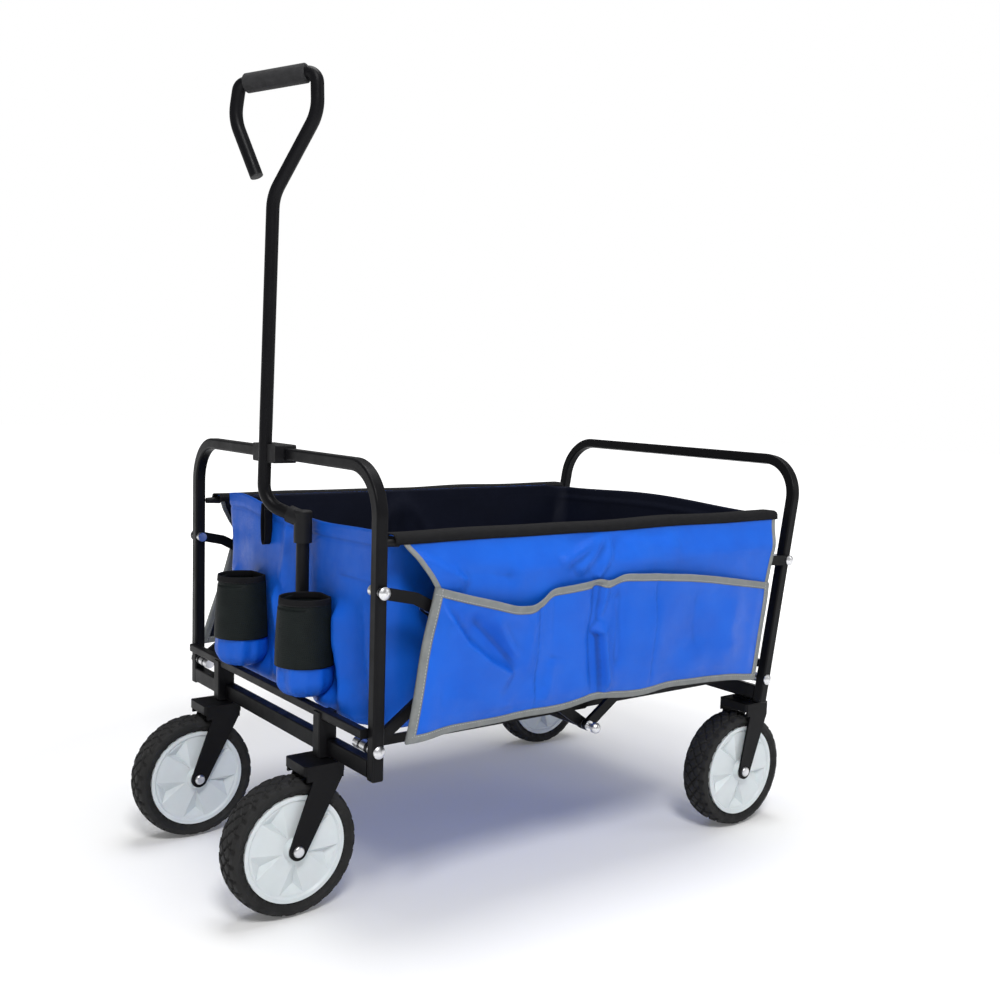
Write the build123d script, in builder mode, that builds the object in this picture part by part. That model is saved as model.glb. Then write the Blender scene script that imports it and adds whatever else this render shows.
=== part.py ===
from build123d import *
import os
from math import atan2, cos, degrees, hypot, radians, sin, sqrt

# Folding beach cart, millimetres. +X points to the rear, -X to the pull handle, +Z up.
# The origin is on the ground under the middle of the cart's bounding box.

# Driving dimensions
hoop_span = 706.0        # bottom pivot to bottom pivot, along X
hoop_width = 555.0       # upright to upright, tube centres
tube = 16.0              # square hoop tube
tube_wall = 1.2
tube_corner = 3.0
hoop_foot_z = 199.0
hoop_top_z = 582.0
hoop_bend = 62.0
rear_lean = 9.5          # degrees that the opened rear hoop leans back
pivot_z = 235.0          # bottom pivots of the side bars
bar_top_z = 485.0        # where the long bars meet, mid-length
bar_width = 15.0
bar_thickness = 6.0
rail_width = 12.0
rail_thickness = 4.0
pin_r = 4.0
running_gap = 0.05
front_cross = 195.0      # along a rising bar, from its bottom pivot to the crossing
front_link_reach = 93.0  # along a falling bar, from the crossing to the link
rear_link_reach = 105.0
fold_limit = 80.0        # slope of the bars when folded, degrees
wheel_r = 89.0
tyre_width = 45.0
rim_r = 69.5
hub_width = 38.0
caster_trail = 50.0
post_x_offset = -7.0     # caster post from the front hoop plane
caster_y = 160.0
rear_wheel_y = 248.0
rear_wheel_ahead = 31.0  # rear axle from the rear pivot
plate = 3.0              # pressed steel of the forks
axle_r = 4.0
kingpin_r = 5.0
kingpin_top = 249.0
handle_r = 9.0
handle_wall = 1.5
handle_pivot_z = 280.0
handle_tilt = 1.35       # degrees, stem leaning back
grip_r = 13.0
hem_z = 498.0
floor_z = 244.0
cloth = 4.0
cup_y = 100.0
cup_r = 36.0

# Layers of the side linkage, as distances from the centre plane
upright_out = hoop_width / 2 + tube / 2
upright_in = hoop_width / 2 - tube / 2
outer_layer = 264.0
inner_layer = 255.0
link_layer = 289.0
link_thickness = 4.0
front_rail_layer = 246.0
rear_rail_layer = 240.5

# Worked out
lean = radians(rear_lean)
front_reach = hoop_span / 2 - post_x_offset + caster_trail + wheel_r
hoop_rise = hoop_top_z - pivot_z
rear_reach = hoop_span / 2 + hoop_rise * sin(lean) + tube / 2 * (cos(lean) + sin(lean))
mid_x = (front_reach - rear_reach) / 2
front_x = mid_x - hoop_span / 2
rear_x = mid_x + hoop_span / 2
half_span = hoop_span / 2
bar_rise = bar_top_z - pivot_z
slope = atan2(bar_rise, half_span)
bar_length = hypot(half_span, bar_rise)
short_end = bar_length - front_cross
sin_sum = sin(slope) + sin(radians(fold_limit))
front_cross_x = front_cross * cos(slope)
cross_z = pivot_z + front_cross * sin(slope)
bottom_z = cross_z - short_end * sin(slope)
post_x = front_x + post_x_offset
caster_x = post_x - caster_trail
rear_wheel_x = rear_x - rear_wheel_ahead
front_link_x = front_x + (front_cross - front_link_reach) * cos(slope)
front_link_z = pivot_z + (front_cross + front_link_reach) * sin(slope)
rear_link_x = rear_x - (front_cross - rear_link_reach) * cos(slope)
rear_link_z = pivot_z + (front_cross + rear_link_reach) * sin(slope)
# Heights of the link bolts on the hoops for which each link has the same length opened and folded
front_bolt_rise = 2 * front_cross * front_link_reach * sin_sum / (front_cross + front_link_reach)
rear_bolt_rise = (
    2 * front_cross * rear_link_reach * (sin(radians(fold_limit)) ** 2 - sin(slope) ** 2)
    / ((front_cross - rear_link_reach) * cos(slope) * sin(lean)
       + (front_cross + rear_link_reach) * (sin(radians(fold_limit)) - sin(slope) * cos(lean)))
)
SIDES = {"left": -1, "right": 1}

os.makedirs("parts", exist_ok=True)


def write(piece, label):
    piece.part.label = label
    export_step(piece.part, f"parts/{label}.step")


def hoop_plane(x, lean_angle):
    """Plane of a hoop through its bottom pivots: local x across the cart, local y up the hoop."""
    return Plane(origin=(x, 0, pivot_z), x_dir=(0, 1, 0), z_dir=(cos(lean_angle), 0, -sin(lean_angle)))


def side_plane(distance, side):
    """Upright plane facing sideways at a distance from the centre; local x is X, local y is Z."""
    return Plane.XZ.offset(-side * distance)


front_plane = hoop_plane(front_x, 0)
rear_plane = hoop_plane(rear_x, lean)


def hoop(plane, bolt_rise, label):
    """Bent square tube with holes for its pivot and link bolts."""
    half = hoop_width / 2
    foot = hoop_foot_z - pivot_z
    with BuildPart() as piece:
        with BuildLine(plane) as path:
            FilletPolyline((-half, foot), (-half, hoop_rise), (half, hoop_rise), (half, foot),
                           radius=hoop_bend)
        with BuildSketch(Plane(origin=path.line @ 0, x_dir=(0, 1, 0), z_dir=path.line % 0)):
            RectangleRounded(tube, tube, tube_corner)
            RectangleRounded(tube - 2 * tube_wall, tube - 2 * tube_wall, tube_corner - tube_wall,
                             mode=Mode.SUBTRACT)
        sweep()
        for side in (-1, 1):
            with BuildSketch(Plane(origin=(plane.origin.X, side * half, pivot_z), x_dir=plane.z_dir,
                                   z_dir=(0, 1, 0))):
                with Locations((0, 0), (0, -bolt_rise)):
                    Circle(pin_r)
            extrude(amount=tube, both=True, mode=Mode.SUBTRACT)
    write(piece, label)


def hoop_feet(plane, label):
    """Plastic plugs in the two open ends of a hoop."""
    core = tube - 2 * tube_wall
    foot = hoop_foot_z - pivot_z
    with BuildPart() as piece:
        with BuildSketch(Plane(origin=plane.origin + plane.y_dir * foot, x_dir=(0, 1, 0),
                               z_dir=plane.y_dir)):
            with Locations((-hoop_width / 2, 0), (hoop_width / 2, 0)):
                RectangleRounded(core, core, tube_corner - tube_wall)
        extrude(amount=14)
        with BuildSketch(Plane(origin=plane.origin + plane.y_dir * foot, x_dir=(0, 1, 0),
                               z_dir=-plane.y_dir)):
            with Locations((-hoop_width / 2, 0), (hoop_width / 2, 0)):
                RectangleRounded(tube, tube, tube_corner)
        extrude(amount=1.2, taper=25)
    write(piece, label)


def crossbar(plane, low, high, behind, ahead, bores, label):
    """Bar between the uprights; low and high are heights over the pivots, along the hoop."""
    with BuildPart() as piece:
        with BuildSketch(Plane(origin=(plane.origin.X, 0, pivot_z), x_dir=plane.z_dir, z_dir=(0, -1, 0))):
            with Locations(((behind + ahead) / 2, (low + high) / 2)):
                RectangleRounded(ahead - behind, high - low, 2)
        extrude(amount=upright_in, both=True)
        if bores:
            with BuildSketch(Plane.XY.offset(hoop_foot_z)):
                with Locations(*bores):
                    Circle(kingpin_r + running_gap)
            extrude(amount=kingpin_top - hoop_foot_z, mode=Mode.SUBTRACT)
    write(piece, label)


def turned(piece_x, piece_z, side, steps, dome):
    """Adds a stepped pin along Y: steps are (near, far, radius), and a dome closes the far end."""
    with BuildSketch(Plane(origin=(piece_x, 0, piece_z), x_dir=(0, side, 0), z_dir=(side, 0, 0))) as profile:
        with BuildLine():
            points = [(steps[0][0], 0)]
            for near, far, radius in steps:
                points += [(near, radius)] if points[-1] != (near, radius) else []
                points += [(far, radius)]
            end, radius = points[-1]
            ball = (radius ** 2 + dome ** 2) / (2 * dome)
            half_turn = atan2(radius, ball - dome) / 2
            bulge = (end + dome - ball + ball * cos(half_turn), ball * sin(half_turn))
            Polyline(*points)
            ThreePointArc((end, radius), bulge, (end + dome, 0))
            Line((end + dome, 0), points[0])
        make_face()
    revolve(profile.sketch, axis=Axis((piece_x, 0, piece_z), (0, 1, 0)))


def flat_bar(first, last, width, thickness, layer, side, holes, label):
    """Flat bar with round ends between two pivots in a side layer."""
    length = hypot(last[0] - first[0], last[1] - first[1])
    turn = degrees(atan2(last[1] - first[1], last[0] - first[0]))
    with BuildPart() as piece:
        with BuildSketch(side_plane(layer, side)):
            with Locations(((first[0] + last[0]) / 2, (first[1] + last[1]) / 2)):
                SlotCenterToCenter(length, width, rotation=turn)
            with Locations(*holes):
                Circle(pin_r + running_gap, mode=Mode.SUBTRACT)
        extrude(amount=thickness / 2, both=True)
    write(piece, label)


# Front and rear hoops
hoop(front_plane, front_bolt_rise, "front_hoop")
hoop(rear_plane, rear_bolt_rise, "rear_hoop")
hoop_feet(front_plane, "front_hoop_feet")
hoop_feet(rear_plane, "rear_hoop_feet")

# Crossbars: the upper one stands clear of the bars as they fold, on the outer side of the hoop
upper_low, upper_high = 15.0, 27.0
upper_near, upper_far = 5.5, 17.5
lower_low, lower_high = -35.0, -13.0
kingpins = [(post_x, -caster_y), (post_x, caster_y)]
crossbar(front_plane, upper_low, upper_high, -upper_far, -upper_near, [], "front_upper_crossbar")
crossbar(front_plane, lower_low, lower_high, -tube / 2, tube / 2, kingpins, "front_lower_crossbar")
crossbar(rear_plane, upper_low, upper_high, upper_near, upper_far, [], "rear_upper_crossbar")
crossbar(rear_plane, lower_low, lower_high, -tube / 2, tube / 2, [], "rear_lower_crossbar")

# Caster posts: upright boxes welded over both front crossbars, bored for the kingpins
post_bottom = 198.5
post_top = 258.0
with BuildPart() as caster_posts:
    with BuildSketch(Plane.XY.offset(post_bottom)):
        with Locations(*kingpins):
            RectangleRounded(26, 18, 2)
    extrude(amount=post_top - post_bottom)
    with BuildSketch(Plane.XY.offset(post_bottom)):
        with Locations(*kingpins):
            Circle(kingpin_r + running_gap)
    extrude(amount=kingpin_top + 1 - post_bottom, mode=Mode.SUBTRACT)
    with BuildSketch(Plane(origin=(front_x, 0, pivot_z), x_dir=(1, 0, 0), z_dir=(0, -1, 0))):
        with Locations((-(upper_near + upper_far) / 2, (upper_low + upper_high) / 2)):
            RectangleRounded(upper_far - upper_near, upper_high - upper_low, 2)
        with Locations((0, (lower_low + lower_high) / 2)):
            RectangleRounded(tube, lower_high - lower_low, 2)
    extrude(amount=upright_in, both=True, mode=Mode.SUBTRACT)
write(caster_posts, "caster_posts")

# Hoop bolts: pivot bolts of the bars and rails, and the bolts of the upper links
link_head = [(link_layer - link_thickness / 2 - 0.3, link_layer + link_thickness / 2 + 0.3, pin_r),
             (link_layer + link_thickness / 2 + 0.3, link_layer + link_thickness / 2 + 1.5, 8)]
link_stem = [(upright_in - 7, upright_in, 7), (upright_in, upright_out, pin_r),
             (upright_out, link_head[0][0], 7)]


def pivot_steps(layer, rail_layer):
    """Cap nut, rail, spacer, bar, washer, tube and head of a bottom pivot bolt."""
    bar_near = layer - bar_thickness / 2 - 0.3
    bar_far = layer + bar_thickness / 2 + 0.3
    rail_near = rail_layer - rail_thickness / 2 - 0.3
    rail_far = rail_layer + rail_thickness / 2 + 0.3
    return [(rail_near - 12, rail_near, 7), (rail_near, rail_far, pin_r), (rail_far, bar_near, 7),
            (bar_near, bar_far, pin_r), (bar_far, upright_in, 7), (upright_in, upright_out, pin_r),
            (upright_out, upright_out + 1.5, 8)]


def hoop_bolts(x, link_x, link_z, layer, rail_layer, label):
    with BuildPart() as piece:
        for side in SIDES.values():
            turned(x, pivot_z, side, pivot_steps(layer, rail_layer), 3.5)
            turned(link_x, link_z, side, link_stem + link_head, 3)
    write(piece, label)


hoop_bolts(front_x, front_x, pivot_z + front_bolt_rise, outer_layer, front_rail_layer, "front_hoop_bolts")
hoop_bolts(rear_x, rear_x + rear_bolt_rise * sin(lean), pivot_z + rear_bolt_rise * cos(lean),
           inner_layer, rear_rail_layer, "rear_hoop_bolts")

# Side bars: each side is two crossed pairs that meet mid-length at the top and at the bottom
front_pivot = (front_x, pivot_z)
rear_pivot = (rear_x, pivot_z)
top_point = (mid_x, bar_top_z)
bottom_point = (mid_x, bottom_z)
front_cross_point = (front_x + front_cross_x, cross_z)
rear_cross_point = (rear_x - front_cross_x, cross_z)
front_link_point = (front_link_x, front_link_z)
rear_link_point = (rear_link_x, rear_link_z)
for name, side in SIDES.items():
    flat_bar(front_pivot, top_point, bar_width, bar_thickness, outer_layer, side,
             [front_pivot, front_cross_point, top_point], f"front_rising_bar_{name}")
    flat_bar(bottom_point, front_link_point, bar_width, bar_thickness, inner_layer, side,
             [bottom_point, front_cross_point, front_link_point], f"front_falling_bar_{name}")
    flat_bar(bottom_point, rear_link_point, bar_width, bar_thickness, outer_layer, side,
             [bottom_point, rear_cross_point, rear_link_point], f"rear_rising_bar_{name}")
    flat_bar(rear_pivot, top_point, bar_width, bar_thickness, inner_layer, side,
             [rear_pivot, rear_cross_point, top_point], f"rear_falling_bar_{name}")

# Rivets and bolts of the side bars
head_r = 7.0
outer_near, outer_far = outer_layer - bar_thickness / 2 - 0.3, outer_layer + bar_thickness / 2 + 0.3
inner_near, inner_far = inner_layer - bar_thickness / 2 - 0.3, inner_layer + bar_thickness / 2 + 0.3
both_layers = [(inner_near - 2, inner_near, head_r), (inner_near, inner_far, pin_r),
               (inner_far, outer_near, head_r), (outer_near, outer_far, pin_r)]
with BuildPart() as front_bar_rivets:
    for side in SIDES.values():
        turned(*front_cross_point, side, both_layers + [(outer_far, outer_far + 0.5, head_r)], 2)
        turned(*top_point, side, both_layers + [(outer_far, outer_far + 0.5, head_r)], 2)
write(front_bar_rivets, "front_bar_rivets")
with BuildPart() as rear_bar_rivets:
    for side in SIDES.values():
        turned(*rear_cross_point, side, both_layers + [(outer_far, outer_far + 0.5, head_r)], 2)
write(rear_bar_rivets, "rear_bar_rivets")
nut_near = 279.0
spacer_end = link_layer - link_thickness / 2 - 0.6
with BuildPart() as bottom_bolts:
    for side in SIDES.values():
        turned(*bottom_point, side, both_layers + [(outer_far, outer_far + 1.5, head_r),
               (outer_far + 1.5, nut_near, pin_r), (nut_near, nut_near + 5, 7.5)], 5)
write(bottom_bolts, "bottom_bolts")
with BuildPart() as front_link_bolts:
    for side in SIDES.values():
        turned(*front_link_point, side, [(inner_near - 2, inner_near, head_r),
               (inner_near, inner_far, pin_r), (inner_far, spacer_end - 0.5, 6)], 0.5)
write(front_link_bolts, "front_link_bolts")
with BuildPart() as rear_link_bolts:
    for side in SIDES.values():
        turned(*rear_link_point, side, [(outer_near - 2, outer_near, head_r),
               (outer_near, outer_far, pin_r), (outer_far, spacer_end - 0.5, 6)], 0.5)
write(rear_link_bolts, "rear_link_bolts")

# Tube across the cart between the two bottom bolts
with BuildPart() as cross_tube:
    with BuildSketch(Plane(origin=(mid_x, 0, bottom_z), x_dir=(1, 0, 0), z_dir=(0, -1, 0))):
        Circle(6)
        Circle(4.8, mode=Mode.SUBTRACT)
    extrude(amount=inner_near - 2, both=True)
write(cross_tube, "cross_tube")

# Floor rails: two halves per side, lapped side by side at mid-length
rail_lap = 8.0
for label, pivot, layer, end_x in (("front_floor_rails", front_pivot, front_rail_layer, mid_x + rail_lap),
                                   ("rear_floor_rails", rear_pivot, rear_rail_layer, mid_x - rail_lap)):
    with BuildPart() as rails:
        for side in SIDES.values():
            with BuildSketch(side_plane(layer, side)):
                with Locations(((pivot[0] + end_x) / 2, pivot_z)):
                    SlotCenterToCenter(abs(end_x - pivot[0]), rail_width)
                with Locations(pivot):
                    Circle(pin_r + running_gap, mode=Mode.SUBTRACT)
            extrude(amount=rail_thickness / 2, both=True)
    write(rails, label)


# Upper links between the hoops and the side bars, cranked a little, each with a rivet head at its far end
def links(bolt, far_point, crank, label):
    with BuildPart() as piece:
        for side in SIDES.values():
            with BuildSketch(side_plane(link_layer, side)):
                for first, last in ((bolt, crank), (crank, far_point)):
                    run = hypot(last[0] - first[0], last[1] - first[1])
                    turn = degrees(atan2(last[1] - first[1], last[0] - first[0]))
                    with Locations(((first[0] + last[0]) / 2, (first[1] + last[1]) / 2)):
                        SlotCenterToCenter(run, bar_width, rotation=turn)
                with Locations(bolt):
                    Circle(pin_r + running_gap, mode=Mode.SUBTRACT)
            extrude(amount=link_thickness / 2, both=True)
            turned(*far_point, side, [(link_layer, link_layer + link_thickness / 2 + 0.4, 6)], 1.4)
    write(piece, label)


links((front_x, pivot_z + front_bolt_rise), front_link_point,
      (front_x + 45, pivot_z + front_bolt_rise - 10), "front_links")
links((rear_x + rear_bolt_rise * sin(lean), pivot_z + rear_bolt_rise * cos(lean)), rear_link_point,
      (rear_x - 20, pivot_z + rear_bolt_rise * cos(lean) + 3), "rear_links")

# Forks: pressed hood over the tyre, two legs down to the axle
fork_inside = 26.0
fork_outside = fork_inside + plate
leg_width = 24.0
leg_top_width = 34.0
skirt_depth = 20.0
hood_bottom = 184.0
hood_top = 196.5
rear_pad_top = 199.0      # pad between a rear fork and the lower crossbar


def fork(axle_x, wheel_y, top_x, hood_low_x, hood_high_x, kingpin, label):
    """Fork centred on wheel_y; the legs taper from the hood's skirts down to the axle."""
    hood_mid = (hood_low_x + hood_high_x) / 2
    hood_length = hood_high_x - hood_low_x
    with BuildPart() as piece:
        with BuildSketch(Plane.XZ.offset(-wheel_y)):
            with Locations((axle_x, wheel_r)):
                Circle(leg_width / 2)
            with Locations((top_x, hood_top - skirt_depth / 2)):
                Rectangle(leg_top_width, skirt_depth)
            make_hull()
            with Locations((hood_mid, hood_top - skirt_depth / 2)):
                Rectangle(hood_length - 6, skirt_depth)
            with Locations((axle_x, wheel_r)):
                Circle(axle_r, mode=Mode.SUBTRACT)
        extrude(amount=fork_outside, both=True)
        with BuildSketch(Plane.XY.offset(hood_bottom)):
            with Locations((hood_mid, wheel_y)):
                RectangleRounded(hood_length, 2 * fork_outside, 5)
        extrude(amount=hood_top - hood_bottom)
        with BuildSketch(Plane.XZ.offset(-wheel_y)):
            with Locations((hood_mid, (hood_top - plate) / 2)):
                Rectangle(hood_length - 2 * plate, hood_top - plate)
            with Locations((axle_x, wheel_r)):
                Rectangle(2 * leg_width + hood_length, 2 * (hood_bottom - wheel_r))
        extrude(amount=fork_inside, both=True, mode=Mode.SUBTRACT)
        if kingpin:
            with BuildSketch(Plane.XY.offset(hood_top - plate)):
                with Locations((post_x, wheel_y)):
                    Circle(kingpin_r)
            extrude(amount=kingpin_top - hood_top + plate)
        else:
            with BuildSketch(Plane.XY.offset(hood_top)):
                with Locations((top_x - 2, wheel_y)):
                    Rectangle(14, 40)
            extrude(amount=rear_pad_top - hood_top)
    write(piece, label)


def axle_steps(half):
    return [(-half - 4, -half, 7.5), (-half, half, axle_r), (half, half + 4, 7.5)]


def axles(places, label):
    with BuildPart() as piece:
        for x, y in places:
            with BuildSketch(Plane(origin=(x, y, wheel_r), x_dir=(0, 1, 0), z_dir=(1, 0, 0))):
                with BuildLine():
                    outline = [(-fork_outside - 4, 0)]
                    for near, far, radius in axle_steps(fork_outside):
                        outline += [(near, radius), (far, radius)]
                    outline += [(fork_outside + 4, 0)]
                    Polyline(*outline, close=True)
                make_face()
            revolve(axis=Axis((x, y, wheel_r), (0, 1, 0)))
        ends = piece.edges().filter_by(GeomType.CIRCLE).filter_by(lambda e: e.radius > 7)
        reach = fork_outside + 3.9
        fillet([e for e in ends if min(abs(abs(e.center().Y - y) - fork_outside - 4)
                                       for _, y in places) < 0.1], radius=reach - fork_outside - 0.5)
    write(piece, label)


def wheel(x, y, name):
    """Plastic hub disc with five sloping pits on each face, and the tyre round it."""
    with BuildPart() as hub:
        with BuildSketch(Plane(origin=(x, y, wheel_r), x_dir=(0, 1, 0), z_dir=(1, 0, 0))):
            half = hub_width / 2
            boss = fork_inside - 0.5
            with BuildLine():
                Polyline((-boss, axle_r + running_gap), (-boss, 13), (-half + 1, 16), (-half + 1, 62),
                         (-half - 1.5, 64.5), (-half - 1.5, rim_r), (half + 1.5, rim_r),
                         (half + 1.5, 64.5), (half - 1, 62), (half - 1, 16), (boss, 13),
                         (boss, axle_r + running_gap), close=True)
            make_face()
        revolve(axis=Axis((x, y, wheel_r), (0, 1, 0)))
        for face in (-1, 1):
            for pit in range(5):
                plane = Plane(origin=(x, y + face * (half - 1), wheel_r),
                              x_dir=(cos(radians(72 * pit + 50)), 0, sin(radians(72 * pit + 50))),
                              z_dir=(0, face, 0))
                with BuildSketch(plane) as mouth:
                    Polygon((17, 0), (59, -17), (59, 17), align=None)
                bottom = plane.from_local_coords(Vector(47, 5, -9))
                loft(sections=[mouth.sketch.face(), Vertex(bottom)], mode=Mode.SUBTRACT)
    write(hub, f"{name}_hub")
    with BuildPart() as tyre:
        with BuildSketch(Plane(origin=(x, y, wheel_r), x_dir=(0, 1, 0), z_dir=(1, 0, 0))):
            half = tyre_width / 2
            with BuildLine():
                Line((-half + 2, rim_r), (half - 2, rim_r))
                Line((half - 2, rim_r), (half, rim_r + 3))
                Line((half, rim_r + 3), (half, wheel_r - 8))
                ThreePointArc((half, wheel_r - 8), (half - 4, wheel_r - 2.4), (half - 11, wheel_r))
                Line((half - 11, wheel_r), (11 - half, wheel_r))
                ThreePointArc((11 - half, wheel_r), (4 - half, wheel_r - 2.4), (-half, wheel_r - 8))
                Line((-half, wheel_r - 8), (-half, rim_r + 3))
                Line((-half, rim_r + 3), (-half + 2, rim_r))
            make_face()
        revolve(axis=Axis((x, y, wheel_r), (0, 1, 0)))
    write(tyre, f"{name}_tyre")


for name, side in SIDES.items():
    fork(caster_x, side * caster_y, post_x - 6, post_x - 42, post_x + 16, True, f"caster_fork_{name}")
    axles([(caster_x, side * caster_y)], f"caster_axle_{name}")
    wheel(caster_x, side * caster_y, f"front_{name}")
    fork(rear_wheel_x, side * rear_wheel_y, rear_x - 3, rear_x - 34, rear_x + 14, False,
         f"rear_fork_{name}")
    wheel(rear_wheel_x, side * rear_wheel_y, f"rear_{name}")
axles([(rear_wheel_x, -rear_wheel_y), (rear_wheel_x, rear_wheel_y)], "rear_axles")

# Pull handle. The stem and its loop lie in an upright plane turned from the cross direction.
tilt = radians(handle_tilt)
stem_x = front_x - 19    # stem axis at the height of the top bar
turned_x, turned_y = 0.562, -0.827
handle_plane = Plane(origin=(stem_x - hoop_top_z * sin(tilt) / cos(tilt), 0, 0),
                     x_dir=(turned_x * cos(tilt), turned_y, -turned_x * sin(tilt)),
                     z_dir=(turned_y * cos(tilt), -turned_x, -turned_y * sin(tilt)))
elbow_s = 62.0           # sideways place of the lower tube in the handle plane
elbow_z = 494.5
elbow = handle_plane.from_local_coords(Vector(elbow_s, elbow_z, 0))
handle_end = (-27.0, 956.0)
stem_points = [(elbow_s - 12, elbow_z + 3.8), (0, 514), (0, 928), (63, 1036), (60, 1089.5), (-57, 1076.7),
               (-63, 1032), handle_end]
stem_bends = [36, 60, 60, 14, 11, 60]
with BuildPart() as handle_stem:
    with BuildLine(handle_plane) as stem_path:
        FilletPolyline(*stem_points, radius=stem_bends)
    with BuildSketch(Plane(origin=stem_path.line @ 0, z_dir=stem_path.line % 0)):
        Circle(handle_r)
        Circle(handle_r - handle_wall, mode=Mode.SUBTRACT)
    sweep()
write(handle_stem, "handle_stem")

grip_from, grip_to = Vector(60, 1089.5), Vector(-57, 1076.7)
grip_way = (grip_to - grip_from).normalized()
grip_length = 92.0
grip_start = grip_from + grip_way * 15.2
with BuildPart() as handle_grip:
    grip_origin = handle_plane.from_local_coords(grip_start)
    grip_end = handle_plane.from_local_coords(grip_start + grip_way * grip_length)
    with BuildSketch(Plane(origin=grip_origin, z_dir=grip_end - grip_origin)):
        Circle(grip_r)
        Circle(handle_r, mode=Mode.SUBTRACT)
    extrude(amount=grip_length)
    fillet(handle_grip.edges().filter_by(GeomType.CIRCLE).filter_by(lambda e: e.radius > grip_r - 1),
           radius=2)
write(handle_grip, "handle_grip")

# Plug in the loop's free end
end_way = handle_plane.from_local_coords(Vector(*handle_end)) - handle_plane.from_local_coords(
    Vector(-63, 1032))
with BuildPart() as handle_plug:
    with BuildSketch(Plane(origin=handle_plane.from_local_coords(Vector(*handle_end)), z_dir=-end_way)):
        Circle(handle_r - handle_wall)
    extrude(amount=10)
    with BuildSketch(Plane(origin=handle_plane.from_local_coords(Vector(*handle_end)), z_dir=end_way)):
        Circle(handle_r)
    extrude(amount=2)
write(handle_plug, "handle_plug")

# Lower tube of the handle, from its hinge to the elbow
lower_x, lower_y = elbow.X, elbow.Y
tube_foot = handle_pivot_z - 14
with BuildPart() as handle_lower_tube:
    with BuildSketch(Plane(origin=(lower_x, lower_y, tube_foot), z_dir=(0, 0, 1))):
        Circle(handle_r)
        Circle(handle_r - handle_wall, mode=Mode.SUBTRACT)
    extrude(amount=elbow_z - 6 - tube_foot)
    with BuildSketch(Plane(origin=(lower_x, lower_y, handle_pivot_z), z_dir=(0, 1, 0))):
        Circle(pin_r)
    extrude(amount=2 * handle_r, both=True, mode=Mode.SUBTRACT)
write(handle_lower_tube, "handle_lower_tube")

# Elbow: two sockets that meet, one for the stem's foot and one for the lower tube
stem_foot = stem_path.line @ 0
stem_way = stem_path.line % 0
with BuildPart() as handle_elbow:
    with BuildSketch(Plane(origin=(lower_x, lower_y, elbow_z - 32), z_dir=(0, 0, 1))):
        Circle(handle_r + 3.5)
    extrude(amount=44)
    with BuildSketch(Plane(origin=stem_foot + stem_way * 10, z_dir=-stem_way)):
        Circle(handle_r + 3)
    extrude(amount=22)
    fillet(handle_elbow.faces().sort_by(Axis.Z)[-1].edges(), radius=3)
    with BuildSketch(Plane(origin=(lower_x, lower_y, elbow_z - 40), z_dir=(0, 0, 1))):
        Circle(handle_r)
    extrude(amount=34, mode=Mode.SUBTRACT)
    with BuildSketch(Plane(origin=stem_foot, z_dir=stem_way)):
        Circle(handle_r)
    extrude(amount=20, mode=Mode.SUBTRACT)
write(handle_elbow, "handle_elbow")

# Hinge bracket behind the upper crossbar, with the pin that the handle turns on
ear_gap = handle_r + 0.5
ear = 2.0
bracket_back = front_x - upper_near
with BuildPart() as handle_bracket:
    with BuildSketch(Plane.XZ.offset(-lower_y)):
        with BuildLine():
            Polyline((bracket_back, pivot_z + upper_low), (bracket_back, pivot_z + upper_high),
                     (lower_x - 9, handle_pivot_z + 4), (lower_x, handle_pivot_z + 9),
                     (lower_x + 9, handle_pivot_z + 4), (lower_x + 9, handle_pivot_z - 6),
                     (bracket_back + 10, pivot_z + upper_low), close=True)
        make_face()
        with Locations((lower_x, handle_pivot_z)):
            Circle(pin_r + running_gap, mode=Mode.SUBTRACT)
    extrude(amount=ear_gap + ear, both=True)
    with BuildSketch(Plane.XZ.offset(-lower_y)):
        with Locations((bracket_back + 2 + 60, handle_pivot_z)):
            Rectangle(120, 80)
    extrude(amount=ear_gap, both=True, mode=Mode.SUBTRACT)
write(handle_bracket, "handle_bracket")
with BuildPart() as handle_pin:
    with BuildSketch(Plane(origin=(lower_x, lower_y, handle_pivot_z), z_dir=(0, 1, 0))):
        Circle(pin_r)
    extrude(amount=ear_gap + ear + 0.3, both=True)
    for way in (-1, 1):
        with BuildSketch(Plane(origin=(lower_x, lower_y + way * (ear_gap + ear + 0.3), handle_pivot_z),
                               z_dir=(0, way, 0))):
            Circle(6.5)
        extrude(amount=1.5, taper=20)
write(handle_pin, "handle_pin")

# Clip on the top bar: a block round the tube with a groove that the stem snaps into
with BuildPart() as handle_clip:
    with BuildSketch(Plane.YZ.offset(front_x - 21)):
        with Locations((0, hoop_top_z)):
            RectangleRounded(70, 25, 3)
    extrude(amount=31.5)
    with BuildSketch(Plane(origin=(front_x, 0, hoop_top_z), x_dir=(1, 0, 0), z_dir=(0, -1, 0))):
        RectangleRounded(tube, tube, tube_corner)
    extrude(amount=40, both=True, mode=Mode.SUBTRACT)
    with BuildSketch(Plane.YZ.offset(front_x - 40)):
        with Locations((0, hoop_top_z)):
            Rectangle(2 * handle_r + 0.8, 40)
    extrude(amount=30.5, mode=Mode.SUBTRACT)
write(handle_clip, "handle_clip")

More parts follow.
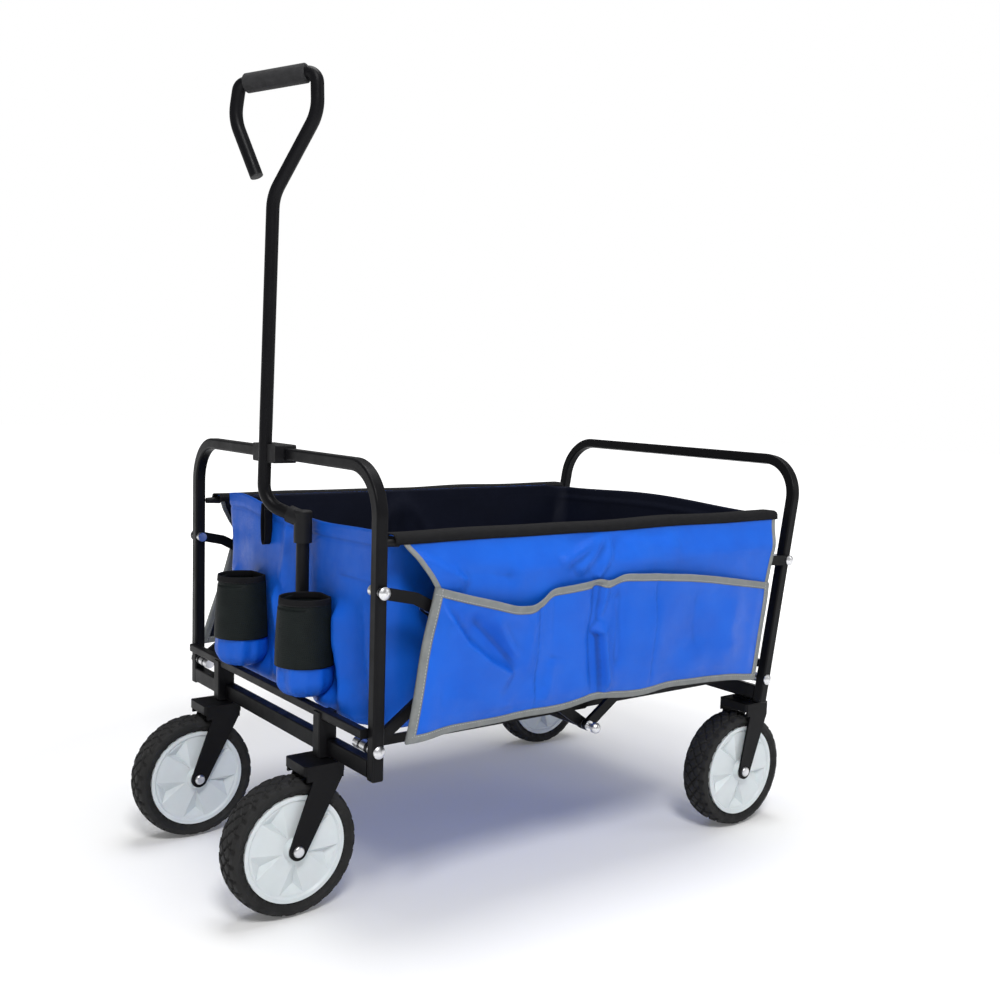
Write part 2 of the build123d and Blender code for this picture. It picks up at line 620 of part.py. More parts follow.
# Cloth basket: floor and four walls in one shell, with the side hems turned out over the bars
basket_front = front_x + 31
basket_rear_foot = rear_x - 15
basket_rear_top = rear_x + 15
wall_out = 248.0
hem_out = 275.0
with BuildPart() as basket:
    with BuildSketch(Plane.XZ):
        with BuildLine():
            Polyline((basket_front, floor_z), (basket_rear_foot, floor_z), (basket_rear_top, hem_z),
                     (basket_front, hem_z), close=True)
        make_face()
    extrude(amount=wall_out, both=True)
    offset(amount=-cloth, openings=basket.faces().sort_by(Axis.Z)[-1])
    for side in (-1, 1):
        with BuildSketch(Plane.XY.offset(hem_z - 3)):
            with Locations(((basket_front + basket_rear_top) / 2, side * (wall_out + hem_out) / 2)):
                Rectangle(basket_rear_top - basket_front, hem_out - wall_out)
        extrude(amount=3)
write(basket, "basket")

# Padded floor mat of four stiff panels, which fold like a screen
mat_low = floor_z + cloth + 0.3
mat_front = basket_front + cloth + 6
mat_rear = basket_rear_foot - cloth - 6
panel_gap = 4.0
panel = (mat_rear - mat_front - 3 * panel_gap) / 4
with BuildPart() as floor_mat:
    with BuildSketch(Plane.XY.offset(mat_low)):
        with Locations(((mat_front + mat_rear) / 2, 0)):
            with GridLocations(panel + panel_gap, 1, 4, 1):
                RectangleRounded(panel, 2 * (wall_out - cloth - 5), 6)
    extrude(amount=7)
write(floor_mat, "floor_mat")

# Side pockets: a sheet that hangs from the hem outside the bars, with a pouch on its face
sheet = 1.5
sheet_in = 295.5
pouch_depth = 6.5
mouth_front_x = front_x + 70
mouth_rear_x = rear_x - 22
side_outline = [(front_x + 28, hem_z), (mouth_front_x, 430), (front_x + 20, 252), (mid_x, 252),
                (rear_x - 38, 240), (mouth_rear_x, 392), (rear_x + 15, hem_z)]
mouth_line = [(mouth_front_x, 430), (mouth_rear_x, 392)]
for name, side in SIDES.items():
    out = sheet_in + 2 * sheet + pouch_depth
    with BuildPart() as side_pocket:
        with BuildSketch(Plane(origin=(front_x, 0, 0), x_dir=(0, side, 0), z_dir=(side, 0, 0))):
            with BuildLine():
                Polyline((hem_out + 0.2, hem_z), (hem_out + 0.2, hem_z - 3), (sheet_in, 440),
                         (sheet_in, 230), (sheet_in + sheet, 230), (sheet_in + sheet, 440),
                         (hem_out + 3, hem_z), close=True)
            make_face()
        extrude(amount=side * (hoop_span + 40))
        with BuildSketch(side_plane(sheet_in + sheet, side)):
            with BuildLine():
                Polyline(*side_outline[1:6], close=True)
            make_face()
        extrude(amount=-side * (2 * sheet + pouch_depth - sheet))
        with BuildSketch(side_plane(sheet_in - 30, side)):
            with BuildLine():
                Polyline(*side_outline, close=True)
            make_face()
        extrude(amount=-side * 60, mode=Mode.INTERSECT)
        with BuildSketch(side_plane(sheet_in + sheet, side)):
            with BuildLine():
                Polyline((mouth_front_x + 4, 434), (front_x + 32, 260), (mid_x, 258), (rear_x - 46, 248),
                         (mouth_rear_x - 6, 396), close=True)
            make_face()
        extrude(amount=-side * pouch_depth, mode=Mode.SUBTRACT)
    write(side_pocket, f"side_pocket_{name}")

# Cup pockets on the front wall
cup_x = basket_front - cup_r - 0.2
for name, side in SIDES.items():
    with BuildPart() as cup_pocket:
        with BuildSketch(Plane.XY.offset(264.5)):
            with Locations((cup_x, side * cup_y)):
                Circle(cup_r)
        extrude(amount=132.5)
        offset(amount=-2, openings=cup_pocket.faces().sort_by(Axis.Z)[-1])
    write(cup_pocket, f"cup_pocket_{name}")

# Plugs in the front ends of the side hems, and the holding strap that hangs by the handle
plug_r = 5.5
strap_y = 80
with BuildPart() as hem_plugs:
    for side in (-1, 1):
        with BuildSketch(Plane(origin=(basket_front - 0.2, side * (hem_out - plug_r), hem_z - 9), z_dir=(-1, 0, 0))):
            Circle(plug_r)
        extrude(amount=22, taper=3)
write(hem_plugs, "hem_plugs")
with BuildPart() as holding_strap:
    with BuildSketch(Plane(origin=(basket_front - 8, strap_y, 474), x_dir=(0, 1, 0), z_dir=(-1, 0, 0))):
        SlotOverall(62, 18, rotation=90)
        SlotOverall(54, 10, rotation=90, mode=Mode.SUBTRACT)
    extrude(amount=3, both=True)
write(holding_strap, "holding_strap")
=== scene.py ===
"""The looks of a folding beach cart: sewn cloth, padding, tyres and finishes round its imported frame.

Lengths are metres. +X points to the rear, -X to the pull handle, and left is -Y.
"""

from math import cos, pi, radians, sin

import bmesh
import bpy
import numpy as np
from mathutils import Matrix, Vector


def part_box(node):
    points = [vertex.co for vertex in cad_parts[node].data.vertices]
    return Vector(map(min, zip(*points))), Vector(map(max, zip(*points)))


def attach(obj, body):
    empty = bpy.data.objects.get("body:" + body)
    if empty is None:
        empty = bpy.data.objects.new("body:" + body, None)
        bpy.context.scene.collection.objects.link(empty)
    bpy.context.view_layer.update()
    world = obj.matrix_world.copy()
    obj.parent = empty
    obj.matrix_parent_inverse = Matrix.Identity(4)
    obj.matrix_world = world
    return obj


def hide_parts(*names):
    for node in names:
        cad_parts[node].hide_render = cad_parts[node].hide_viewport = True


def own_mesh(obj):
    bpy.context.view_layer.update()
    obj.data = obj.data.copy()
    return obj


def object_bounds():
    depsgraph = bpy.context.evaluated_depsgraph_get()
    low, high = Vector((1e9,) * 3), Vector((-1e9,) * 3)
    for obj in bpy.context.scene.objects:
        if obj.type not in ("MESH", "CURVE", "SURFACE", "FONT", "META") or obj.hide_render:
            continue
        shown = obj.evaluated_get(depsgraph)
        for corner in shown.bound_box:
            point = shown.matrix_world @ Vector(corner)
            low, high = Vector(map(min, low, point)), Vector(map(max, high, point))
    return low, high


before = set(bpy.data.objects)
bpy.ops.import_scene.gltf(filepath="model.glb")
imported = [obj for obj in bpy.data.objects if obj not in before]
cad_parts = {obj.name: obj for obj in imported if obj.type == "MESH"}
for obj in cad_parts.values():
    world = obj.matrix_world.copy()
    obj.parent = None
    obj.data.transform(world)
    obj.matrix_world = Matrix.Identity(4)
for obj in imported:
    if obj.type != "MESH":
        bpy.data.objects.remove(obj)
cad_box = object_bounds()

# Places, all read from the frame.
basket_low, basket_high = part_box("basket")
mat_low, mat_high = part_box("floor_mat")
pocket_low, pocket_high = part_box("side_pocket_right")
hem_z = basket_high.z
floor_z = basket_low.z
front_wall_x = basket_low.x
rear_hem_x = basket_high.x
rear_foot_x = mat_high.x + 0.010
wall_y = mat_high.y + 0.009
flange_y = basket_high.y
pouch_depth = 0.008
pocket_y = pocket_high.y - pouch_depth - 0.0010
middle_x = sum(point.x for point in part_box("bottom_bolts")) / 2

# The side pocket's outline: its front edge runs in to a notch under the hem, and out again to its foot.
corner_x = pocket_low.x
notch_x = corner_x + 0.050
top_x = corner_x + 0.008
notch_z = hem_z - 0.064
bottom_z = pocket_low.z + 0.012
rear_edge = [
    (pocket_high.x - 0.060, bottom_z - 0.005),
    (pocket_high.x - 0.040, hem_z - 0.106),
    (pocket_high.x - 0.003, hem_z),
]
# The mouth's edge, as places along the cart from its middle, and drops below the hem.
mouth_line = [
    (-0.284, 0.063), (-0.250, 0.073), (-0.207, 0.084), (-0.172, 0.094), (-0.140, 0.097), (-0.120, 0.091),
    (-0.102, 0.079), (-0.062, 0.075), (-0.018, 0.072), (-0.002, 0.077), (0.024, 0.068), (0.078, 0.071),
    (0.139, 0.076), (0.187, 0.082), (0.237, 0.090), (0.328, 0.105),
]

sky_light = 0.28
cloth_thickness = 0.0014
binding_width = 0.010
narrow_binding = 0.007
binding_thickness = 0.0008


# Number helpers, on whole arrays.

def ease(t):
    """From 0 to 1 as t does, with level ends."""
    t = np.clip(t, 0, 1)
    return t * t * (3 - 2 * t)


def nearest(x, y, path):
    """Distance from each (x, y) to a path, the side it lies on, and the share of the way along."""
    best = np.full(np.shape(x), np.inf)
    side = np.zeros(np.shape(x))
    share = np.zeros(np.shape(x))
    lengths = [np.hypot(b[0] - a[0], b[1] - a[1]) for a, b in zip(path, path[1:])]
    done = 0.0
    for (ax, ay), (bx, by), length in zip(path, path[1:], lengths):
        dx, dy = bx - ax, by - ay
        t = np.clip(((x - ax) * dx + (y - ay) * dy) / length**2, 0, 1)
        distance = np.hypot(x - ax - t * dx, y - ay - t * dy)
        closer = distance < best
        best = np.where(closer, distance, best)
        side = np.where(closer, np.sign(dx * (y - ay) - dy * (x - ax)), side)
        share = np.where(closer, (done + t * length) / sum(lengths), share)
        done += length
    return best, side, share


def crease(x, y, path, height, left, right, fade=0.2):
    """A ridge along a path, height high, left and right wide on its two sides, and fading at both ends."""
    distance, side, share = nearest(x, y, path)
    width = np.where(side > 0, left, right)
    return height * ease(share / fade) * ease((1 - share) / fade) * np.exp(-(distance / width) ** 1.5)


def ripple(x, y, size, seed):
    """The gentle unevenness of hanging cloth, about -1 to 1, with swells about size across."""
    draw = np.random.default_rng(seed)
    total = 0
    for _ in range(7):
        angle, phase = draw.uniform(0, 2 * pi, 2)
        pitch = size * draw.uniform(0.6, 1.6)
        total = total + np.sin(2 * pi * (x * cos(angle) + y * sin(angle)) / pitch + phase)
    return total / 4


# Mesh helpers. A grid is an array of rows x columns x 3.

def quads(rows, columns, wrap):
    """The faces of a grid, closed round its columns if wrap."""
    last = columns if wrap else columns - 1
    faces = []
    for r in range(rows - 1):
        near, far = r * columns, (r + 1) * columns
        for c in range(last):
            beside = (c + 1) % columns
            faces.append((near + c, near + beside, far + beside, far + c))
    return faces


def normals(grid, facing, wrap=False):
    """The unit normals of a grid, on the side that facing points to."""
    padded = np.concatenate([grid[:, -1:], grid, grid[:, :1]], axis=1) if wrap else grid
    along = np.gradient(padded, axis=1)
    along = along[:, 1:-1] if wrap else along
    across = np.gradient(grid, axis=0)
    normal = np.cross(along, across)
    normal /= np.maximum(np.linalg.norm(normal, axis=2, keepdims=True), 1e-12)
    return normal * (1 if np.sum(normal * facing) > 0 else -1)


def spans(grid):
    """For each point of a grid, how far along its row and down its column it is."""
    row_steps = np.linalg.norm(np.diff(grid, axis=1, prepend=grid[:, :1]), axis=2)
    column_steps = np.linalg.norm(np.diff(grid, axis=0, prepend=grid[:1]), axis=2)
    return np.cumsum(row_steps, axis=1), np.cumsum(column_steps, axis=0)


def add_piece(name, vertices, faces, body, materials, uv=None, inside_from=None, inside_to=None):
    """A closed mesh that rides on a body. uv is in metres.

    The faces from inside_from to inside_to take the second material.
    """
    mesh = bpy.data.meshes.new(name)
    mesh.from_pydata(np.asarray(vertices).tolist(), [], faces)
    for material in materials:
        mesh.materials.append(material)
    if inside_from is not None:
        for polygon in list(mesh.polygons)[inside_from:inside_to]:
            polygon.material_index = 1
    if uv is not None:
        corners = np.zeros(len(mesh.loops), int)
        mesh.loops.foreach_get("vertex_index", corners)
        layer = mesh.uv_layers.new(name="metres")
        layer.uv.foreach_set("vector", np.asarray(uv)[corners].astype(np.float32).ravel())
    shape = bmesh.new()
    shape.from_mesh(mesh)
    bmesh.ops.recalc_face_normals(shape, faces=shape.faces)
    shape.to_mesh(mesh)
    shape.free()
    mesh.shade_smooth()
    obj = bpy.data.objects.new(name, mesh)
    bpy.context.scene.collection.objects.link(obj)
    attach(obj, body)
    return obj


def add_sheet(
    name, grid, facing, materials,
    body="front_frame", thickness=cloth_thickness, wrap=False, capped=False,
):
    """A thick sheet whose outside is the grid. capped closes its last row."""
    rows, columns = grid.shape[:2]
    count = rows * columns
    back = grid - normals(grid, facing, wrap) * thickness
    outside = quads(rows, columns, wrap)
    if capped:
        outside.append(tuple(range(count - columns, count)))
    inside = [tuple(i + count for i in reversed(face)) for face in outside]
    edges = [[(c, c + 1) for c in range(columns - 1)]]
    if wrap:
        edges[0].append((columns - 1, 0))
    if not capped:
        edges.append([(a + count - columns, b + count - columns) for a, b in edges[0]])
    if not wrap:
        edges.append([(r * columns, (r + 1) * columns) for r in range(rows - 1)])
        edges.append([(r * columns + columns - 1, (r + 2) * columns - 1) for r in range(rows - 1)])
    rim = [(a, b, b + count, a + count) for edge in edges for a, b in edge]
    uv = np.stack(spans(grid), axis=2).reshape(-1, 2)
    vertices = np.concatenate([grid.reshape(-1, 3), back.reshape(-1, 3)])
    return add_piece(
        name, vertices, outside + inside + rim, body, materials,
        np.concatenate([uv, uv]), len(outside), len(outside) + len(inside),
    )


def add_binding(name, lines, facing, behind, materials, width=binding_width):
    """A tape folded over the edge of a sheet, whose grid is lines with the bound edge as its first row."""
    steps = np.linspace(0, width, 5)
    _, reach = spans(lines)
    stations = np.array([
        [
            [np.interp(step, reach[:, i], lines[:, i, axis]) for axis in range(3)]
            for i in range(lines.shape[1])
        ]
        for step in steps
    ])
    normal = normals(stations, facing)
    inward = stations[1] - stations[0]
    inward /= np.linalg.norm(inward, axis=1, keepdims=True)
    tip = stations[0] - inward * binding_thickness
    outer = stations + normal * binding_thickness
    inner = stations - normal * (behind + binding_thickness)
    middle = tip - normal[0] * behind / 2
    ring = np.concatenate([outer[::-1], middle[None], inner]).transpose(1, 0, 2)
    rows, columns = ring.shape[:2]
    faces = quads(rows, columns, True)
    faces.append(tuple(range(columns)))
    faces.append(tuple(range(rows * columns - 1, (rows - 1) * columns - 1, -1)))
    length = spans(lines)[0][0]
    across = np.concatenate([steps[::-1], [0], steps])
    uv = np.stack(np.broadcast_arrays(length[:, None], across[None, :]), axis=2).reshape(-1, 2)
    return add_piece(name, ring.reshape(-1, 3), faces, "front_frame", materials, uv)


def crumple(obj):
    """Gives the piece a mesh of its own."""
    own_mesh(obj)


# Materials.

def new_material(name, colour, roughness, **sockets):
    """A Principled material, its colour and roughness in a tree that the other helpers add to."""
    material = bpy.data.materials.new(name)
    material.use_nodes = True
    shader = material.node_tree.nodes["Principled BSDF"]
    shader.inputs["Base Color"].default_value = (*colour, 1)
    shader.inputs["Roughness"].default_value = roughness
    for socket, value in sockets.items():
        shader.inputs[socket.replace("_", " ")].default_value = value
    return material


def add_node(material, kind, inputs, **settings):
    """A node with its settings and its inputs, each a value or another node's output."""
    tree = material.node_tree
    node = tree.nodes.new(kind)
    for name, value in settings.items():
        setattr(node, name, value)
    for name, value in inputs.items():
        if isinstance(value, bpy.types.NodeSocket):
            tree.links.new(value, node.inputs[name])
        else:
            node.inputs[name].default_value = value
    return node


def add_math(material, operation, first, second=0.0):
    return add_node(material, "ShaderNodeMath", {0: first, 1: second}, operation=operation).outputs[0]


def place(material):
    return add_node(material, "ShaderNodeTexCoord", {}).outputs["Object"]


def add_noise(material, scale, detail=3.0, roughness=0.55):
    inputs = {"Vector": place(material), "Scale": scale, "Detail": detail, "Roughness": roughness}
    return add_node(material, "ShaderNodeTexNoise", inputs).outputs["Fac"]


def add_range(material, value, low, high, from_low=0.3, from_high=0.7):
    inputs = {"Value": value, "From Min": from_low, "From Max": from_high, "To Min": low, "To Max": high}
    return add_node(material, "ShaderNodeMapRange", inputs).outputs["Result"]


def tint(material, share, colour):
    """Mixes colour into the material's own, where share is 1."""
    shader = material.node_tree.nodes["Principled BSDF"]
    socket = shader.inputs["Base Color"]
    start = socket.links[0].from_socket if socket.is_linked else tuple(socket.default_value)
    inputs = {"Factor": share, 6: start, 7: (*colour, 1)}
    mixed = add_node(material, "ShaderNodeMix", inputs, data_type="RGBA")
    material.node_tree.links.new(mixed.outputs[2], socket)


def rough(material, value):
    material.node_tree.links.new(value, material.node_tree.nodes["Principled BSDF"].inputs["Roughness"])


def bump(material, height, distance, strength=1.0):
    """Adds relief distance metres deep where height goes from 0 to 1."""
    shader = material.node_tree.nodes["Principled BSDF"]
    socket = shader.inputs["Normal"]
    inputs = {"Height": height, "Distance": distance, "Strength": strength}
    if socket.is_linked:
        inputs["Normal"] = socket.links[0].from_socket
    made = add_node(material, "ShaderNodeBump", inputs)
    material.node_tree.links.new(made.outputs["Normal"], socket)


def tape_place(material):
    """How far along a cloth or tape a point is, and how far across it, in metres."""
    uv = add_node(material, "ShaderNodeUVMap", {}, uv_map="metres").outputs["UV"]
    parts = add_node(material, "ShaderNodeSeparateXYZ", {"Vector": uv})
    return parts.outputs["X"], parts.outputs["Y"]


def wave(material, value, pitch):
    """A wave from 0 to 1 that repeats every pitch metres."""
    turned = add_math(material, "SINE", add_math(material, "MULTIPLY", value, 2 * pi / pitch))
    return add_range(material, turned, 0.0, 1.0, -1.0, 1.0)


def weave(material, pitch, depth):
    """Warp and weft threads, as relief."""
    along, across = tape_place(material)
    warp = add_math(material, "SINE", add_math(material, "MULTIPLY", along, 2 * pi / pitch))
    weft = add_math(material, "SINE", add_math(material, "MULTIPLY", across, 2 * pi / pitch))
    threads = add_math(material, "MULTIPLY", warp, weft)
    bump(material, add_range(material, threads, 0.0, 1.0, -1.0, 1.0), depth)
    return threads


def stitches(material, line, pitch, colour):
    """A row of dashed stitches at line metres from the tape's edge."""
    along, across = tape_place(material)
    away = add_math(material, "ABSOLUTE", add_math(material, "SUBTRACT", across, line))
    near = add_math(material, "LESS_THAN", away, 0.0005)
    turn = add_math(material, "FRACT", add_math(material, "DIVIDE", along, pitch))
    dash = add_math(material, "LESS_THAN", turn, 0.62)
    thread = add_math(material, "MULTIPLY", near, dash)
    tint(material, thread, colour)
    bump(material, thread, 0.0005)


def powder_coat():
    """Semi-gloss black paint with a fine orange peel, dust, and paler edges: partly wear, partly a painted
    highlight.
    """
    material = new_material("powder_coat", (0.004, 0.004, 0.005), 0.36, Specular_IOR_Level=0.10)
    rough(material, add_range(material, add_noise(material, 35), 0.31, 0.46))
    tint(material, add_range(material, add_noise(material, 9, 5), 0.0, 0.35), (0.008, 0.008, 0.009))
    # Paler convex edges: partly wear, partly a painted highlight.
    edge_wear_and_highlight = add_node(material, "ShaderNodeNewGeometry", {}).outputs["Pointiness"]
    tint(material, add_range(material, edge_wear_and_highlight, 0.0, 0.12, 0.58, 0.70), (0.04, 0.04, 0.042))
    bump(material, add_noise(material, 900, 2), 0.00012)
    return material


def zinc():
    """Zinc-plated steel, with a slightly uneven shine."""
    material = new_material("zinc", (0.72, 0.72, 0.73), 0.34, Metallic=1.0)
    rough(material, add_range(material, add_noise(material, 160), 0.28, 0.44))
    tint(material, add_range(material, add_noise(material, 45), 0.0, 0.5), (0.55, 0.56, 0.60))
    bump(material, add_noise(material, 1500), 0.00005)
    return material


def moulded_plastic():
    """Black moulded plastic with a fine spark-eroded grain."""
    material = new_material("moulded_plastic", (0.007, 0.007, 0.008), 0.46, Specular_IOR_Level=0.16)
    rough(material, add_range(material, add_noise(material, 60), 0.40, 0.56))
    tint(material, add_range(material, add_noise(material, 14), 0.0, 0.5), (0.013, 0.013, 0.014))
    bump(material, add_noise(material, 1800, 2), 0.00010)
    return material


def hub_plastic():
    """Pale satin polypropylene, a little uneven where it cooled."""
    glow = {"Subsurface_Weight": 0.05, "Subsurface_Scale": 0.004}
    material = new_material("hub_plastic", (0.68, 0.73, 0.75), 0.38, **glow)
    rough(material, add_range(material, add_noise(material, 30), 0.32, 0.46))
    tint(material, add_range(material, add_noise(material, 18, 4), 0.0, 0.6), (0.58, 0.62, 0.64))
    bump(material, add_noise(material, 1200, 2), 0.00006)
    return material


def tyre_rubber():
    """Black rubber, dusty in patches."""
    material = new_material("tyre_rubber", (0.012, 0.012, 0.0125), 0.62, Specular_IOR_Level=0.25)
    rough(material, add_range(material, add_noise(material, 50, 5), 0.55, 0.82))
    tint(material, add_range(material, add_noise(material, 22, 6), 0.0, 0.6), (0.026, 0.0255, 0.025))
    bump(material, add_noise(material, 1100, 4), 0.00018)
    return material


def grip_foam():
    """Closed-cell foam, matt, with small open pores, darkened as painted shade."""
    shine = {"Specular_IOR_Level": 0.30, "Sheen_Weight": 0.04, "Sheen_Roughness": 0.6}
    material = new_material("grip_foam", (0.014, 0.014, 0.015), 0.90, **shine)
    inputs = {"Vector": place(material), "Scale": 900.0}
    cells = add_node(material, "ShaderNodeTexVoronoi", inputs).outputs["Distance"]
    tint(material, add_range(material, add_noise(material, 120, 5), 0.0, 0.8), (0.026, 0.026, 0.028))
    # Painted shade in the pores: the cell centres, which the bump sinks, are darkened.
    tint(material, add_range(material, cells, 0.7, 0.0, 0.0, 0.35), (0.006, 0.006, 0.006))
    bump(material, cells, 0.0004, 0.7)
    return material


def coated_cloth(name, colour, shade, light, roughness, shine=0.22):
    """Coated polyester: a fine weave under a satin coat, tones that wander as dyed cloth does, and painted
    shade in its creases.
    """
    material = new_material(name, colour, roughness, Specular_IOR_Level=shine)
    tint(material, add_range(material, add_noise(material, 7, 4), 0.0, 0.45), shade)
    tint(material, add_range(material, add_noise(material, 30, 6), 0.0, 0.22), light)
    threads = weave(material, 0.0011, 0.00012)
    tint(material, add_range(material, threads, 0.0, 0.16, -1.0, 1.0), light)
    # Painted shade: concave places, the creases and folds, are darkened.
    crease_shade_mask = add_node(material, "ShaderNodeNewGeometry", {}).outputs["Pointiness"]
    tint(material, add_range(material, crease_shade_mask, 0.75, 0.0, 0.44, 0.495), tuple(0.45 * part for part in shade))
    rough(material, add_range(material, add_noise(material, 55, 4), roughness - 0.06, roughness + 0.09))
    bump(material, add_noise(material, 120, 5), 0.0005, 0.6)
    return material


def tape(name, colour, light, thread):
    """Woven tape: ribs across it, and a row of stitches near its inner edge."""
    material = new_material(name, colour, 0.78, Specular_IOR_Level=0.12)
    along, _ = tape_place(material)
    ribs = wave(material, along, 0.0016)
    tint(material, add_range(material, add_noise(material, 90, 5), 0.0, 0.5), light)
    tint(material, add_range(material, ribs, 0.0, 0.25, 0.0, 1.0), light)
    bump(material, ribs, 0.00015)
    stitches(material, 0.0080, 0.0042, thread)
    return material


def pocket_net():
    """Black net: small round holes in rows over a dark backing."""
    material = new_material("pocket_net", (0.006, 0.009, 0.009), 0.60, Specular_IOR_Level=0.15)
    along, across = tape_place(material)
    holes = add_math(material, "MULTIPLY", wave(material, along, 0.0026), wave(material, across, 0.0026))
    tint(material, add_range(material, holes, 0.0, 1.0, 0.45, 0.7), (0.002, 0.003, 0.003))
    tint(material, add_range(material, add_noise(material, 40, 4), 0.0, 0.5), (0.011, 0.016, 0.015))
    bump(material, add_range(material, holes, 1.0, 0.0, 0.35, 0.75), 0.0004)
    return material


blue = coated_cloth(
    "blue_cloth_outside", (0.004, 0.100, 0.60), (0.003, 0.062, 0.42), (0.010, 0.155, 0.74), 0.38,
)
lining = coated_cloth(
    "dark_lining", (0.0035, 0.0050, 0.014), (0.002, 0.003, 0.007), (0.007, 0.010, 0.026), 0.60, 0.12,
)
mat_cloth = coated_cloth(
    "mat_cloth", (0.005, 0.006, 0.013), (0.003, 0.004, 0.008), (0.010, 0.012, 0.022), 0.70, 0.12,
)
grey_tape = tape("grey_tape", (0.17, 0.18, 0.18), (0.26, 0.27, 0.265), (0.40, 0.41, 0.40))
black_tape = tape("black_tape", (0.006, 0.006, 0.007), (0.013, 0.013, 0.014), (0.030, 0.030, 0.032))
net = pocket_net()

finishes = {
    "black_steel": powder_coat(),
    "bolt_steel": zinc(),
    "black_plastic": moulded_plastic(),
    "hub": hub_plastic(),
    "tyre": tyre_rubber(),
    "foam": grip_foam(),
    "blue_cloth": blue,
    "dark_cloth": mat_cloth,
    "webbing": black_tape,
}


def finish_frame():
    """Gives every CAD node the finish of its material slot."""
    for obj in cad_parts.values():
        for slot in obj.material_slots:
            slot.material = finishes[slot.material.name.split(".")[0]]


# The basket: one cloth shell, its walls hung from the hem and its floor laid on the rails.

def wall_loop(front, rear, half, radius, side_points=110, end_points=90, corner_points=10):
    """A rounded rectangle round the basket, with its outward directions."""
    corners = [(front, -half, pi), (rear, -half, 1.5 * pi), (rear, half, 0), (front, half, 0.5 * pi)]
    middle = (front + rear) / 2
    centres = [np.array([x - radius * np.sign(x - middle), y - radius * np.sign(y)]) for x, y, _ in corners]
    points, directions = [], []
    for i, (centre, (_, _, angle)) in enumerate(zip(centres, corners)):
        for turn in np.linspace(angle, angle + pi / 2, corner_points):
            direction = np.array([cos(turn), sin(turn)])
            points.append(centre + radius * direction)
            directions.append(direction)
        next_centre = centres[(i + 1) % 4]
        count = side_points if i % 2 == 0 else end_points
        for share in np.linspace(0, 1, count + 2)[1:-1]:
            points.append(centre + (next_centre - centre) * share + radius * directions[-1])
            directions.append(directions[-1])
    return np.array(points), np.array(directions)


def foot_belly(y, z):
    """The slack foot of the front wall, which hangs forward over the upper crossbar."""
    across = ease((0.222 - np.abs(y)) / 0.030) * (1 - 0.95 * np.exp(-((y + 0.051) / 0.026) ** 2))
    return 0.019 * across * np.exp(-(((z - floor_z - 0.009) / 0.024) ** 2))


def front_wall_relief(y, z):
    """How far the front wall stands out: slack between the pockets, and folds running to its foot."""
    height = (z - floor_z) / (hem_z - floor_z)
    out = 0.004 * np.sin(pi * np.clip(height, 0, 1)) * np.cos(pi * y / (2 * wall_y))
    out = out + 0.0022 * ripple(y, z, 0.13, 4) * np.sin(pi * np.clip(height, 0, 1)) ** 0.5
    low = floor_z
    path = [(-0.146, low + 0.160), (-0.140, low + 0.100), (-0.152, low + 0.050), (-0.180, low + 0.008)]
    out = out + crease(y, z, path, 0.009, 0.010, 0.024)
    out = out + crease(y, z, [(-0.205, low + 0.180), (-0.212, low + 0.100), (-0.230, low + 0.020)],
                       0.005, 0.020, 0.012)
    out = out + crease(y, z, [(-0.060, low + 0.090), (-0.085, low + 0.040), (-0.140, low + 0.012)],
                       0.007, 0.016, 0.008)
    out = out + crease(y, z, [(0.052, low + 0.150), (0.030, low + 0.080), (-0.010, low + 0.020)],
                       0.006, 0.018, 0.009)
    out = out + crease(y, z, [(0.060, low + 0.060), (0.020, low + 0.025), (-0.040, low + 0.010)],
                       0.005, 0.012, 0.008)
    out = out + crease(y, z, [(-0.246, hem_z - 0.006), (-0.236, low + 0.170), (-0.224, low + 0.110)],
                       0.006, 0.010, 0.014)
    out = out + crease(y, z, [(0.205, low + 0.160), (0.196, low + 0.090), (0.215, low + 0.020)],
                       0.006, 0.012, 0.020)
    out = out + crease(y, z, [(0.030, hem_z - 0.004), (0.022, hem_z - 0.060), (0.030, hem_z - 0.120)],
                       0.004, 0.014, 0.010)
    out = out - crease(y, z, [(-0.128, low + 0.187), (-0.243, low + 0.183)], 0.0014, 0.0018, 0.0018, 0.08)
    clear_of_tube = 1 - 0.85 * np.exp(-((y + 0.051) / 0.030) ** 2)
    return 1.6 * out * clear_of_tube + foot_belly(y, z)


def side_wall_relief(x, z, side):
    """The long walls sag inwards between hem and floor."""
    height = np.clip((z - floor_z) / (hem_z - floor_z), 0, 1)
    sag = -0.0045 * np.sin(pi * height) - 0.0015
    swell = 0.0028 * ripple(x, z, 0.16, 11 if side > 0 else 12) * np.sin(pi * height)
    fan = sum(
        crease(x, z, [(middle_x, hem_z), (middle_x + reach, floor_z + 0.05)], -0.004, 0.012, 0.008)
        for reach in (-0.120, -0.045, 0.060, 0.140)
    )
    return np.minimum(sag + swell + fan, 0.001)


def hem_rise(x, y):
    """The end hems lift towards the far corner and dip by the handle."""
    end = ease((np.abs(x - (front_wall_x + rear_hem_x) / 2) - 0.30) / 0.03)
    front = 0.010 * np.exp(-(((y - 0.185) / 0.07) ** 2)) - 0.004 * np.exp(-(((y + 0.08) / 0.08) ** 2))
    return end * np.where(x < middle_x, front, 0.004 * np.cos(pi * y / wall_y))


